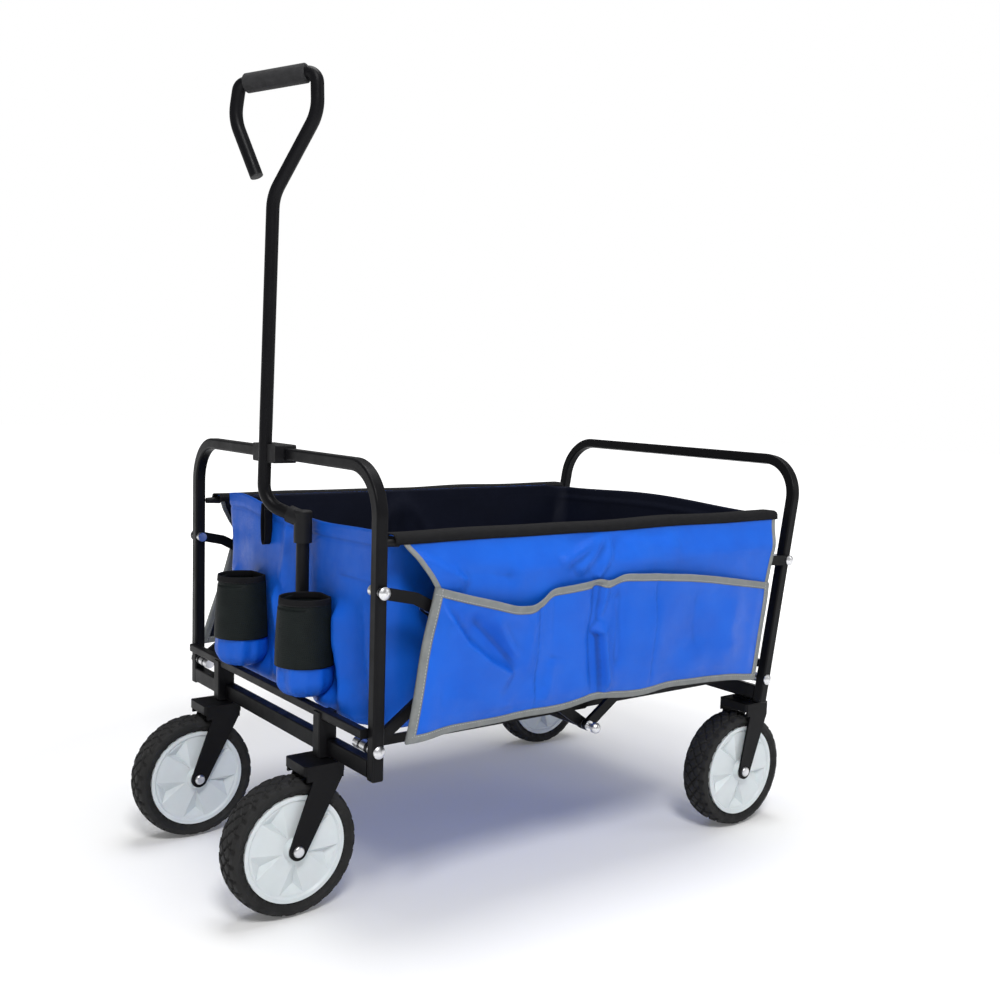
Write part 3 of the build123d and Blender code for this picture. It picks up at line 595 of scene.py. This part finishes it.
def basket_grid():
    wall_rows = np.linspace(0, 1, 62)
    foot_radius = 0.012
    rows = []
    for share in wall_rows:
        z = hem_z - 0.0005 + (floor_z + foot_radius - hem_z) * share
        rear = rear_hem_x + (rear_foot_x - rear_hem_x) * share
        pinch = 0.007 * np.exp(-(((z - hem_z + 0.068) / 0.035) ** 2))
        loop, direction = wall_loop(front_wall_x, rear, wall_y, 0.022 + 0.012 * share)
        x, y = loop.T
        heights = np.full(len(x), z)
        on_front = np.clip(-direction[:, 0], 0, 1) ** 2
        on_rear = np.clip(direction[:, 0], 0, 1) ** 2
        on_side = direction[:, 1] ** 2
        side_relief = np.where(y > 0, side_wall_relief(x, heights, 1), side_wall_relief(x, heights, -1))
        relief = on_front * front_wall_relief(y, heights) + on_side * side_relief
        relief = relief + on_rear * 0.003 * (ripple(y, heights, 0.14, 21) - 1) * sin(pi * share)
        hem_band = ease((z - (hem_z - 0.019)) / 0.002) - 1.6 * np.exp(-(((z - hem_z + 0.0195) / 0.0015) ** 2))
        relief = relief + (on_front + on_rear) * 0.0010 * hem_band
        shift = relief[:, None] * direction
        shift[:, 1] -= np.sign(y) * pinch * (1 - on_side) * np.abs(y) / wall_y
        heights = heights + hem_rise(x, y) * ease(1 - share / 0.35)
        rows.append(np.column_stack([loop + shift, heights]))
    for angle in np.linspace(0.25, 1, 5) * pi / 2:
        inset = foot_radius * (1 - cos(angle))
        front, rear, half = front_wall_x + inset, rear_foot_x - inset, wall_y - inset - 0.0015
        loop, direction = wall_loop(front, rear, half, 0.034 - inset)
        height = floor_z + foot_radius * (1 - sin(angle))
        belly = np.clip(-direction[:, 0], 0, 1) ** 2 * foot_belly(loop[:, 1], height)
        rows.append(np.column_stack([loop + belly[:, None] * direction, np.full(len(loop), height)]))
    centre_x = (front_wall_x + rear_foot_x) / 2
    for share in np.linspace(1, 0.01, 34)[1:]:
        inset = foot_radius
        loop, _ = wall_loop(front_wall_x + inset, rear_foot_x - inset, wall_y - inset - 0.0015, 0.022)
        x = centre_x + (loop[:, 0] - centre_x) * share
        y = loop[:, 1] * share
        heights = floor_z + 0.0008 * (1 + ripple(x, y, 0.11, 31)) * (1 - share)
        rows.append(np.column_stack([x, y, heights]))
    return np.array(rows)


def make_basket():
    grid = basket_grid()
    centre = np.array([(front_wall_x + rear_foot_x) / 2, 0, 0.4])
    basket = add_sheet(
        "basket_cloth", grid, grid - centre, [blue, lining],
        thickness=0.0018, wrap=True, capped=True,
    )
    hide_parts("basket")
    crumple(basket)


# The side pockets: a sheet hung outside the linkage from the hem, and a pouch sewn to its lower part.

def front_edge(z):
    return np.interp(z, [bottom_z, notch_z, hem_z], [corner_x, notch_x, top_x])


def back_edge(z):
    return np.interp(z, [z for _, z in rear_edge], [x for x, _ in rear_edge])


def mouth_height(x):
    """The mouth's edge, with its corners eased as tape bends."""
    offsets = np.linspace(-0.008, 0.008, 9)
    places, drops = np.array(mouth_line).T
    return hem_z - np.mean([np.interp(x - middle_x + offset, places, drops) for offset in offsets], axis=0)


def foot_height(x):
    """The bottom edge, lowest at its ends and a little lifted near the middle."""
    lift = 0.007 * np.exp(-(((x - middle_x + 0.02) / 0.05) ** 2))
    lift = lift + 0.005 * np.exp(-(((x - 0.19) / 0.09) ** 2))
    return bottom_z - 0.001 + lift - 0.007 * ease((x - 0.24) / 0.12) + 0.0008 * np.sin(x / 0.021)


def flare(x, z):
    """The bottom front corner stands away from the frame."""
    return 0.017 * ease((corner_x + 0.120 - x) / 0.115) * ease((notch_z - 0.050 - z) / 0.120)


def hang(x, z):
    """How far out the hung sheet is: it slopes out from the hem, clears the links, and falls straight."""
    out = flange_y + 0.0022 + (pocket_y - flange_y - 0.001) * ease((hem_z - 0.006 - z) / 0.050)
    below = ease((hem_z - 0.010 - z) / 0.020)
    rear_turn = -0.003 * ease((x - 0.20) / 0.18) * np.exp(-(((z - hem_z + 0.045) / 0.035) ** 2))
    wrinkles = (
        crease(x, z, [(0.056, hem_z - 0.004), (0.004, hem_z - 0.029), (-0.046, hem_z - 0.052)],
               0.0055, 0.005, 0.011, 0.12)
        + crease(x, z, [(0.053, hem_z - 0.006), (0.026, hem_z - 0.028), (-0.018, hem_z - 0.064)],
                 0.0050, 0.005, 0.010, 0.12)
        + crease(x, z, [(0.056, hem_z - 0.008), (0.044, hem_z - 0.040), (0.014, hem_z - 0.074)],
                 0.0040, 0.005, 0.009, 0.12)
        + crease(x, z, [(top_x + 0.004, hem_z - 0.008), (-0.240, hem_z - 0.036), (-0.190, hem_z - 0.064)],
                 0.0060, 0.008, 0.016, 0.15)
        + crease(x, z, [(-0.215, hem_z - 0.050), (-0.160, hem_z - 0.052), (-0.110, hem_z - 0.060)],
                 -0.0050, 0.016, 0.016)
        + crease(x, z, [(0.070, hem_z - 0.012), (0.120, hem_z - 0.030), (0.190, hem_z - 0.036)],
                 0.0030, 0.016, 0.012)
    )
    swell = 0.0016 * ripple(x, z, 0.10, 41)
    return out + below * (1.3 * wrinkles + swell + rear_turn) + flare(x, z)


def pouch_stand(x, z):
    """How far the pouch stands out from the sheet behind it: slack at the mouth, folded where it is sewn."""
    top, foot = mouth_height(x), foot_height(x)
    down = np.clip((top - z) / (top - foot), 0, 1)
    slack = 0.004
    for start, end, depth in ((notch_x, -0.062, 0.015), (-0.062, 0.012, 0.006), (0.038, 0.355, 0.011)):
        bay = np.clip((x - start) / (end - start), 0, 1)
        slack = slack + depth * np.sin(pi * bay) ** 1.3 * (1 - 0.72 * ease(down * 1.15))
    folds = (
        crease(x, z, [(-0.246, 0.433), (-0.233, 0.400), (-0.208, 0.364), (-0.174, 0.336), (-0.128, 0.312)],
               0.0085, 0.006, 0.020, 0.10)
        + crease(x, z, [(-0.206, 0.404), (-0.172, 0.372), (-0.140, 0.340), (-0.122, 0.318)],
                 -0.0075, 0.018, 0.013, 0.25)
        + crease(x, z, [(-0.168, 0.398), (-0.136, 0.352), (-0.118, 0.330)], 0.0045, 0.007, 0.011, 0.25)
        + crease(x, z, [(-0.096, 0.400), (-0.104, 0.350), (-0.108, 0.300)], 0.0030, 0.016, 0.009, 0.25)
        + crease(x, z, [(-0.245, 0.300), (-0.190, 0.290), (-0.120, 0.268)], 0.0035, 0.022, 0.018)
        + crease(x, z, [(-0.060, 0.330), (-0.066, 0.290), (-0.082, 0.262)], 0.0040, 0.016, 0.010)
        - crease(x, z, [(0.012, 0.424), (0.011, 0.380), (0.007, 0.350), (0.012, 0.300), (0.015, 0.256)],
                 0.0080, 0.012, 0.006, 0.05)
        + crease(x, z, [(0.030, 0.424), (0.028, 0.400), (0.018, 0.368)], 0.0040, 0.006, 0.010, 0.25)
        + crease(x, z, [(0.004, 0.360), (0.024, 0.352), (0.030, 0.310), (0.034, 0.256)],
                 0.0085, 0.014, 0.005, 0.06)
        + crease(x, z, [(0.055, 0.420), (0.058, 0.350), (0.052, 0.290)], -0.0035, 0.012, 0.012)
        - crease(x, z, [(0.205, 0.412), (0.200, 0.350), (0.212, 0.295)], 0.0050, 0.026, 0.022, 0.3)
        + crease(x, z, [(0.132, 0.408), (0.126, 0.340), (0.140, 0.290)], 0.0030, 0.022, 0.022, 0.3)
        + crease(x, z, [(0.290, 0.395), (0.272, 0.330), (0.286, 0.275)], 0.0040, 0.022, 0.028, 0.3)
        - crease(x, z, [(-0.088, 0.402), (-0.089, 0.256)], 0.0013, 0.0018, 0.0018, 0.02)
        - crease(x, z, [(0.121, 0.426), (0.119, 0.258)], 0.0009, 0.0018, 0.0018, 0.02)
    )
    swell = 0.0014 * ripple(x, z, 0.085, 42)
    edge = ease((x - front_edge(z)) / 0.030) * ease((back_edge(z) - x) / 0.030) * ease((z - foot) / 0.028)
    stand = slack + 1.5 * folds + swell
    return 0.0026 + np.maximum(stand, 0.0004) * edge


def pocket_plane(top_height, columns, rows):
    """x and z over the pocket's outline, from top_height down to its foot."""
    across = np.linspace(0, 1, columns)[None, :]
    down = np.linspace(0, 1, rows)[:, None]
    guess = np.full((1, columns), hem_z - 0.08)
    foot = np.full((1, columns), bottom_z)
    for _ in range(4):
        x_top = front_edge(guess) + (back_edge(guess) - front_edge(guess)) * across
        x_foot = front_edge(foot) + (back_edge(foot) - front_edge(foot)) * across
        guess, foot = top_height(x_top), foot_height(x_foot)
    z = guess + (foot - guess) * down
    x = front_edge(z) + (back_edge(z) - front_edge(z)) * across
    return x, z


def make_side_pocket(label, side):
    """One side's hung sheet, pouch and tapes."""
    facing = np.array([0, side, 0])
    x, z = pocket_plane(lambda place: np.full(place.shape, hem_z - 0.003), 210, 74)
    hung = np.stack([x, side * hang(x, z), z], axis=2)
    turn = [
        (wall_y + 0.001, hem_z - 0.0014),
        (wall_y + 0.009, hem_z - 0.0010),
        (flange_y - 0.010, hem_z - 0.0008),
        (flange_y - 0.002, hem_z - 0.0008),
    ]
    over = np.array([
        np.stack([x[0], np.full(x[0].shape, side * y), np.full(x[0].shape, height)], axis=1)
        for y, height in turn
    ])
    sheet_grid = np.concatenate([over, hung])
    outward = normals(sheet_grid, facing)
    sheet = add_sheet(f"side_sheet_{label}", sheet_grid, outward, [blue, lining])
    x, z = pocket_plane(mouth_height, 230, 66)
    pouch_grid = np.stack([x, side * (hang(x, z) + pouch_stand(x, z)), z], axis=2)
    pouch = add_sheet(f"side_pouch_{label}", pouch_grid, facing, [blue, lining])

    def sideways(grid):
        return grid.transpose(1, 0, 2)

    behind = 0.0055
    notch_row = len(over) + int(np.argmin(np.abs(hung[:, 0, 2] - notch_z)))
    rear_row = len(over) + int(np.argmin(np.abs(hung[:, -1, 2] - pouch_grid[0, -1, 2])))
    front_column, rear_column = sideways(pouch_grid), sideways(pouch_grid)[::-1]
    notch_edge = sideways(sheet_grid[len(over):notch_row + 2])
    rear_upper_edge = sideways(sheet_grid[len(over):rear_row + 2])[::-1]
    edges = [
        ("mouth_tape", pouch_grid, cloth_thickness, binding_width),
        ("foot_tape", pouch_grid[::-1], behind, binding_width),
        ("front_tape", front_column, behind, binding_width),
        ("rear_tape", rear_column, behind, binding_width),
        ("notch_tape", notch_edge, cloth_thickness, narrow_binding),
        ("rear_upper_tape", rear_upper_edge, cloth_thickness, narrow_binding),
    ]
    tapes = [
        add_binding(f"{name}_{label}", lines, facing, depth, [grey_tape], wide)
        for name, lines, depth, wide in edges
    ]
    hem = make_hem_tape(label, side, top_x - 0.006, rear_hem_x - 0.002)
    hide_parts(f"side_pocket_{label}")
    for obj in (sheet, pouch, hem, *tapes):
        crumple(obj)


def make_hem_tape(label, side, start, end):
    """The black tape over a long side's hem, a little wavy."""
    x = np.linspace(start, end, 160)
    wander = 0.0010 * ripple(x, x * 0, 0.19, 51)
    outline = [
        (wall_y - 0.0022, -0.0090), (wall_y - 0.0016, -0.0020), (wall_y + 0.0010, 0.0018),
        (wall_y + 0.0100, 0.0022), (flange_y - 0.003, 0.0022), (flange_y + 0.0022, -0.0002),
        (flange_y + 0.0038, -0.0035), (flange_y + 0.0042, -0.0105),
    ]
    rows = []
    for y, height in outline:
        share = 1 if height > -0.002 else 0.6
        rows.append(np.stack([x, np.full(x.shape, side * y), hem_z + height + wander * share], axis=1))
    grid = np.array(rows)
    outward = normals(grid, np.array([0, side, 0.3]))
    materials = [black_tape, black_tape]
    return add_sheet(f"hem_tape_{label}", grid, outward, materials, thickness=0.0012)


# The cup pockets: a blue pouch under a sleeve of net, both flat where they are sewn to the front wall.

def cup_ring(centre, radius, heights, scales, turns=72):
    """Rings of a pocket: round in front and flat against the wall behind."""
    angles = np.linspace(0, 2 * pi, turns, endpoint=False)
    rows = []
    for height, scale in zip(heights, scales):
        x = centre.x - radius * scale * np.cos(angles)
        y = centre.y + radius * scale * np.sin(angles)
        wall = front_wall_x - 0.0022 - np.maximum(front_wall_relief(y, np.full(turns, height)), 0)
        x = np.minimum(x, wall)
        droop = -0.005 * ease((np.cos(angles) + 0.4) / 1.4) * (height > min(heights) + 0.080)
        rows.append(np.stack([x, y, np.full(turns, height) + droop], axis=1))
    return np.array(rows), angles


def make_cup_pocket(label):
    low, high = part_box(f"cup_pocket_{label}")
    centre = (low + high) / 2
    radius = (high.y - low.y) / 2
    side = 1 if centre.y > 0 else -1
    seam_z = low.z + 0.047
    net_heights = np.linspace(high.z, seam_z - 0.004, 30)
    down = (high.z - net_heights) / (high.z - seam_z)
    slump = 0.945 + 0.155 * down ** 0.8 + 0.02 * np.sin(pi * down)
    grid, angles = cup_ring(centre, radius, net_heights, slump)
    waves = 0.0012 * np.cos(3 * angles + side) * (np.cos(angles) > 0)
    grid[:, :, 0] -= 0.0010 + waves[None, :] * np.linspace(1, 0.3, 30)[:, None]
    outward = grid - np.array([centre.x, centre.y, 0]) * [1, 1, 0] - np.array([0, 0, 1]) * grid[:, :, 2:]
    sleeve = add_sheet(
        f"cup_net_{label}", grid, outward, [net, net], thickness=0.0012, wrap=True,
    )
    bend = np.linspace(0, pi / 2, 12)
    bend_z = low.z + 0.024
    straight = np.linspace(seam_z + 0.004, bend_z, 10)
    heights = np.concatenate([straight, bend_z - 0.0235 * np.sin(bend[1:])])
    swell = 1.03 + 0.05 * np.sin(np.linspace(0, pi / 2, 10))
    scales = np.concatenate([swell, 0.33 + 0.75 * np.cos(bend[1:])])
    grid, angles = cup_ring(centre, radius * 0.985, heights, scales)
    gathers = 0.0016 * np.cos(7 * angles + 1.3 * side) + 0.0010 * np.cos(11 * angles)
    depth = np.sin(pi * np.linspace(0.0, 0.95, len(heights)))
    spread = depth[:, None] * gathers[None, :] * (np.cos(angles) > -0.2)
    grid[:, :, 0] -= spread * np.cos(angles)
    grid[:, :, 1] += spread * np.sin(angles)
    outward = grid - np.array([centre.x, centre.y, low.z + 0.03])
    pouch = add_sheet(
        f"cup_pouch_{label}", grid, outward, [blue, lining], wrap=True, capped=True,
    )
    rim_heights = np.linspace(high.z + 0.0012, high.z - 0.0075, 5)
    rim_grid, _ = cup_ring(centre, radius * 0.975, rim_heights, np.linspace(0.99, 1.01, 5))
    rim_grid[:, :, 0] -= 0.0014
    rim = add_sheet(
        f"cup_rim_{label}", rim_grid, rim_grid - np.array(centre), [black_tape, black_tape],
        thickness=0.0022, wrap=True,
    )
    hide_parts(f"cup_pocket_{label}")


# The holding strap, a loop of webbing under the front hem.

def make_strap():
    low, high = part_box("holding_strap")
    centre = (low + high) / 2
    half = 0.0062
    drop = np.linspace(high.z - 0.002, low.z + half, 16)
    turn = np.linspace(0, pi, 13)[1:-1]
    line = [(-half - 0.0012 * sin(pi * i / 15), z) for i, z in enumerate(drop)]
    line += [(-half * cos(angle), low.z + half - half * sin(angle)) for angle in turn]
    line += [(half + 0.0020 * sin(pi * i / 15), z) for i, z in enumerate(drop[::-1])]
    widths = np.linspace(front_wall_x - 0.0035, front_wall_x - 0.0165, 7)
    grid = np.array([[(x, centre.y + y + 0.25 * (x - front_wall_x), z) for x in widths] for y, z in line])
    outward = np.array([[(0, y, z - centre.z) for _ in widths] for y, z in line])
    strap = add_sheet("strap_loop", grid, outward, [black_tape, black_tape], thickness=0.0016)
    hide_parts("holding_strap")


# The floor mat: four stiff boards wrapped in cloth and padding.

def blown_panel(length, width, thickness):
    """A panel's points and faces, swollen by a short cloth simulation with its seams held."""
    pitch = 0.008
    columns, rows = round(length / pitch) + 1, round(width / pitch) + 1
    x, y = np.meshgrid(
        np.linspace(-length / 2, length / 2, columns),
        np.linspace(-width / 2, width / 2, rows),
    )
    top = np.stack([x, y, np.full(x.shape, thickness / 2)], axis=2)
    shape = bmesh.new()
    bottom = top * [1, 1, -1]
    layers = [[[shape.verts.new(point) for point in row] for row in layer] for layer in (top, bottom)]
    for r in range(rows - 1):
        for c in range(columns - 1):
            for layer in layers:
                shape.faces.new((layer[r][c], layer[r][c + 1], layer[r + 1][c + 1], layer[r + 1][c]))
    border = [(0, c) for c in range(columns)] + [(r, columns - 1) for r in range(1, rows)]
    border += [(rows - 1, c) for c in range(columns - 2, -1, -1)] + [(r, 0) for r in range(rows - 2, 0, -1)]
    for (r, c), (next_r, next_c) in zip(border, border[1:] + border[:1]):
        corners = [layers[0][r][c], layers[0][next_r][next_c], layers[1][next_r][next_c], layers[1][r][c]]
        shape.faces.new(corners)
    bmesh.ops.recalc_face_normals(shape, faces=shape.faces)
    mesh = bpy.data.meshes.new("panel_trial")
    shape.to_mesh(mesh)
    shape.free()
    flat = np.array([vertex.co for vertex in mesh.vertices])
    faces = [tuple(polygon.vertices) for polygon in mesh.polygons]
    trial = bpy.data.objects.new("panel_trial", mesh)
    bpy.context.scene.collection.objects.link(trial)
    held = trial.vertex_groups.new(name="held")
    from_middle = np.abs(flat[:, :2])
    on_border = np.any(from_middle > np.array([length - pitch, width - pitch]) / 2, axis=1)
    held.add(np.nonzero(on_border)[0].tolist(), 1.0, "REPLACE")
    cloth = trial.modifiers.new("Cloth", "CLOTH")
    cloth.settings.quality = 5
    cloth.settings.mass = 0.2
    cloth.settings.use_pressure = True
    cloth.settings.uniform_pressure_force = 4.0
    cloth.settings.shrink_min = -0.018
    cloth.settings.vertex_group_mass = "held"
    cloth.settings.effector_weights.gravity = 0.0
    cloth.collision_settings.use_collision = False
    scene = bpy.context.scene
    for number in range(1, 21):
        scene.frame_set(number)
    settled = trial.evaluated_get(bpy.context.evaluated_depsgraph_get())
    blown = np.array([vertex.co for vertex in settled.data.vertices])
    scene.frame_set(1)
    bpy.data.objects.remove(trial)
    most = 0.0045
    flat = flat + np.clip(blown - flat, -most, most)
    bpy.data.meshes.remove(mesh)
    return flat, faces


def make_mat():
    gap = 0.003
    length = (mat_high.x - mat_low.x) / 4
    width = mat_high.y - mat_low.y
    thickness = mat_high.z - mat_low.z
    points, faces = blown_panel(length - gap, width - gap, thickness * 0.7)
    height = (mat_low.z + mat_high.z) / 2
    for number in range(4):
        turn = 1 if number % 2 == 0 else -1
        moved = points * [turn, turn, 1] + [mat_low.x + length * (number + 0.5), 0, height]
        moved[:, 2] = np.maximum(moved[:, 2], mat_low.z - 0.0012)
        uv = points[:, :2]
        name = f"mat_panel_{number + 1}"
        panel = add_piece(name, moved, faces, "front_frame", [mat_cloth], uv)
        if number == 0:
            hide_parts("floor_mat")
        crumple(panel)


# The tyres: round shoulders, ringed sidewalls, and diamond lugs across the crown.

tread_pitches = 28
tread_depth = 0.0030
crown_share = 0.93


def tread_cut(angle, y, half):
    """How deep the tread is cut at each place, from 0 on a lug to 1 in a groove."""
    turn = angle * tread_pitches / (2 * pi)
    across = y / half
    rising = np.abs((turn + 1.3 * across) % 1 - 0.5)
    falling = np.abs((turn - 1.3 * across) % 1 - 0.5)
    lattice = ease((0.12 - np.minimum(rising, falling)) / 0.05)
    shoulder = ease((np.abs(across) - 0.62) / 0.04)
    ring = ease((0.045 - np.abs(np.abs(across) - 0.62)) / 0.025)
    notches = ease((0.17 - np.abs((turn + 0.25 * np.sign(y)) % 1 - 0.5)) / 0.05) * shoulder
    return np.maximum.reduce([lattice * (1 - shoulder), ring, notches])


def make_tyre(name, node, hub, body):
    low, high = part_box(node)
    centre = (low + high) / 2
    outer = (high.z - low.z) / 2
    half = (high.y - low.y) / 2
    seat = (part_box(hub)[1].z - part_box(hub)[0].z) / 2
    angles = np.linspace(0, 2 * pi, 16 * tread_pitches, endpoint=False)
    crown_y = np.linspace(-crown_share, crown_share, 47) * half
    crown_r = outer - 0.0042 * np.abs(crown_y / half) ** 2.6
    wall = np.linspace(0, 1, 15)[1:]
    wall_r = crown_r[-1] - (crown_r[-1] - seat - 0.0004) * wall
    bulge = 0.07 * np.sin(pi * np.minimum(wall * 1.5, 1))
    wall_y_places = half * (crown_share + bulge - 0.16 * ease((wall - 0.45) / 0.55))
    for ring_place in (0.42, 0.72):
        wall_y_places = wall_y_places + 0.0007 * np.exp(-((wall - ring_place) / 0.05) ** 2)
    section = [(-y, r) for y, r in zip(wall_y_places[::-1], wall_r[::-1])]
    section += list(zip(crown_y, crown_r))
    section += list(zip(wall_y_places, wall_r))
    y, r = np.array(section).T
    angle_grid, y_grid = np.meshgrid(angles, y, indexing="ij")
    on_crown = np.abs(y_grid) <= crown_share * half + 1e-9
    radius = r[None, :] - tread_depth * tread_cut(angle_grid, y_grid, half) * on_crown
    x_grid, z_grid = radius * np.sin(angle_grid), radius * np.cos(angle_grid)
    grid = np.stack([centre.x + x_grid, centre.y + y_grid, centre.z + z_grid], axis=2)
    rows, columns = grid.shape[:2]
    faces = []
    for i in range(rows):
        near, far = i * columns, (i + 1) % rows * columns
        for j in range(columns):
            beside = (j + 1) % columns
            faces.append((near + j, far + j, far + beside, near + beside))
    made = add_piece(name, grid.reshape(-1, 3), faces, body, [finishes["tyre"]])
    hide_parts(node)


# The studio.

def make_camera():
    """Stands off the cart's front left corner, at table height, and leans very slightly."""
    yaw, pitch, roll = radians(36.7), radians(5.64), radians(1.7)
    ahead = Vector((sin(yaw) * cos(pitch), cos(yaw) * cos(pitch), -sin(pitch)))
    level = Vector((cos(yaw), -sin(yaw), 0))
    upright = level.cross(ahead)
    right = level * cos(roll) + upright * sin(roll)
    top = upright * cos(roll) - level * sin(roll)
    data = bpy.data.cameras.new("camera")
    data.sensor_width = 36
    data.lens = 42.22
    camera = bpy.data.objects.new("camera", data)
    bpy.context.scene.collection.objects.link(camera)
    columns = Matrix((right, top, -ahead)).transposed().to_4x4()
    camera.matrix_world = Matrix.Translation((-1.0321, -1.4808, 0.6850)) @ columns
    bpy.context.scene.camera = camera


def make_light(name, place_at, aim, size, power, colour=(1, 1, 1)):
    data = bpy.data.lights.new(name, "AREA")
    data.shape = "DISK"
    data.size = size
    data.energy = power
    data.color = colour
    light = bpy.data.objects.new(name, data)
    light.location = place_at
    light.rotation_mode = "QUATERNION"
    light.rotation_quaternion = (Vector(aim) - Vector(place_at)).to_track_quat("-Z", "Y")
    bpy.context.scene.collection.objects.link(light)


def make_studio():
    """A pale floor that glows more with distance, so that it fades into a white sky, and three large soft
    lights.
    """
    shape = bmesh.new()
    bmesh.ops.create_circle(shape, cap_ends=True, segments=64, radius=14)
    mesh = bpy.data.meshes.new("studio_floor")
    shape.to_mesh(mesh)
    shape.free()
    floor = bpy.data.objects.new("studio_floor", mesh)
    floor.location.z = cad_box[0].z - 0.0005
    bpy.context.scene.collection.objects.link(floor)
    paint = new_material("studio_paint", (0.86, 0.86, 0.86), 0.9)
    tint(paint, add_range(paint, add_noise(paint, 2), 0.0, 0.3), (0.84, 0.84, 0.84))
    shader = paint.node_tree.nodes["Principled BSDF"]
    shader.inputs["Emission Color"].default_value = (1, 1, 1, 1)
    # Painted light: the floor glows, faintly near the middle and fully far off, so it fades into the white
    # sky.
    spread = add_node(paint, "ShaderNodeVectorMath", {0: place(paint)}, operation="LENGTH").outputs["Value"]
    glow = add_range(paint, spread, 0.10, 1.0, 0.8, 2.6)
    paint.node_tree.links.new(glow, shader.inputs["Emission Strength"])
    mesh.materials.append(paint)
    world = bpy.data.worlds.new("studio")
    world.use_nodes = True
    tree = world.node_tree
    background = tree.nodes["Background"]
    background.inputs["Color"].default_value = (1, 1, 1, 1)
    ray = tree.nodes.new("ShaderNodeLightPath")
    level = tree.nodes.new("ShaderNodeMapRange")
    level.inputs["To Min"].default_value = sky_light
    level.inputs["To Max"].default_value = 1.0
    tree.links.new(ray.outputs["Is Camera Ray"], level.inputs["Value"])
    tree.links.new(level.outputs["Result"], background.inputs["Strength"])
    bpy.context.scene.world = world
    target = (0.0, 0.0, 0.35)
    make_light("key", (-1.3, -2.5, 3.3), target, 1.1, 92)
    make_light("side", (2.4, -2.2, 1.7), target, 1.4, 12)
    make_light("top", (0.3, 0.2, 3.7), target, 2.2, 80)
    bpy.context.scene.view_settings.view_transform = "Standard"


make_camera()
finish_frame()
make_basket()
for label, side in (("left", -1), ("right", 1)):
    make_side_pocket(label, side)
    make_cup_pocket(label)
    for end in ("front", "rear"):
        make_tyre(f"tread_{end}_{label}", f"{end}_{label}_tyre", f"{end}_{label}_hub", f"{end}_wheel_{label}")
make_strap()
make_mat()
make_studio()
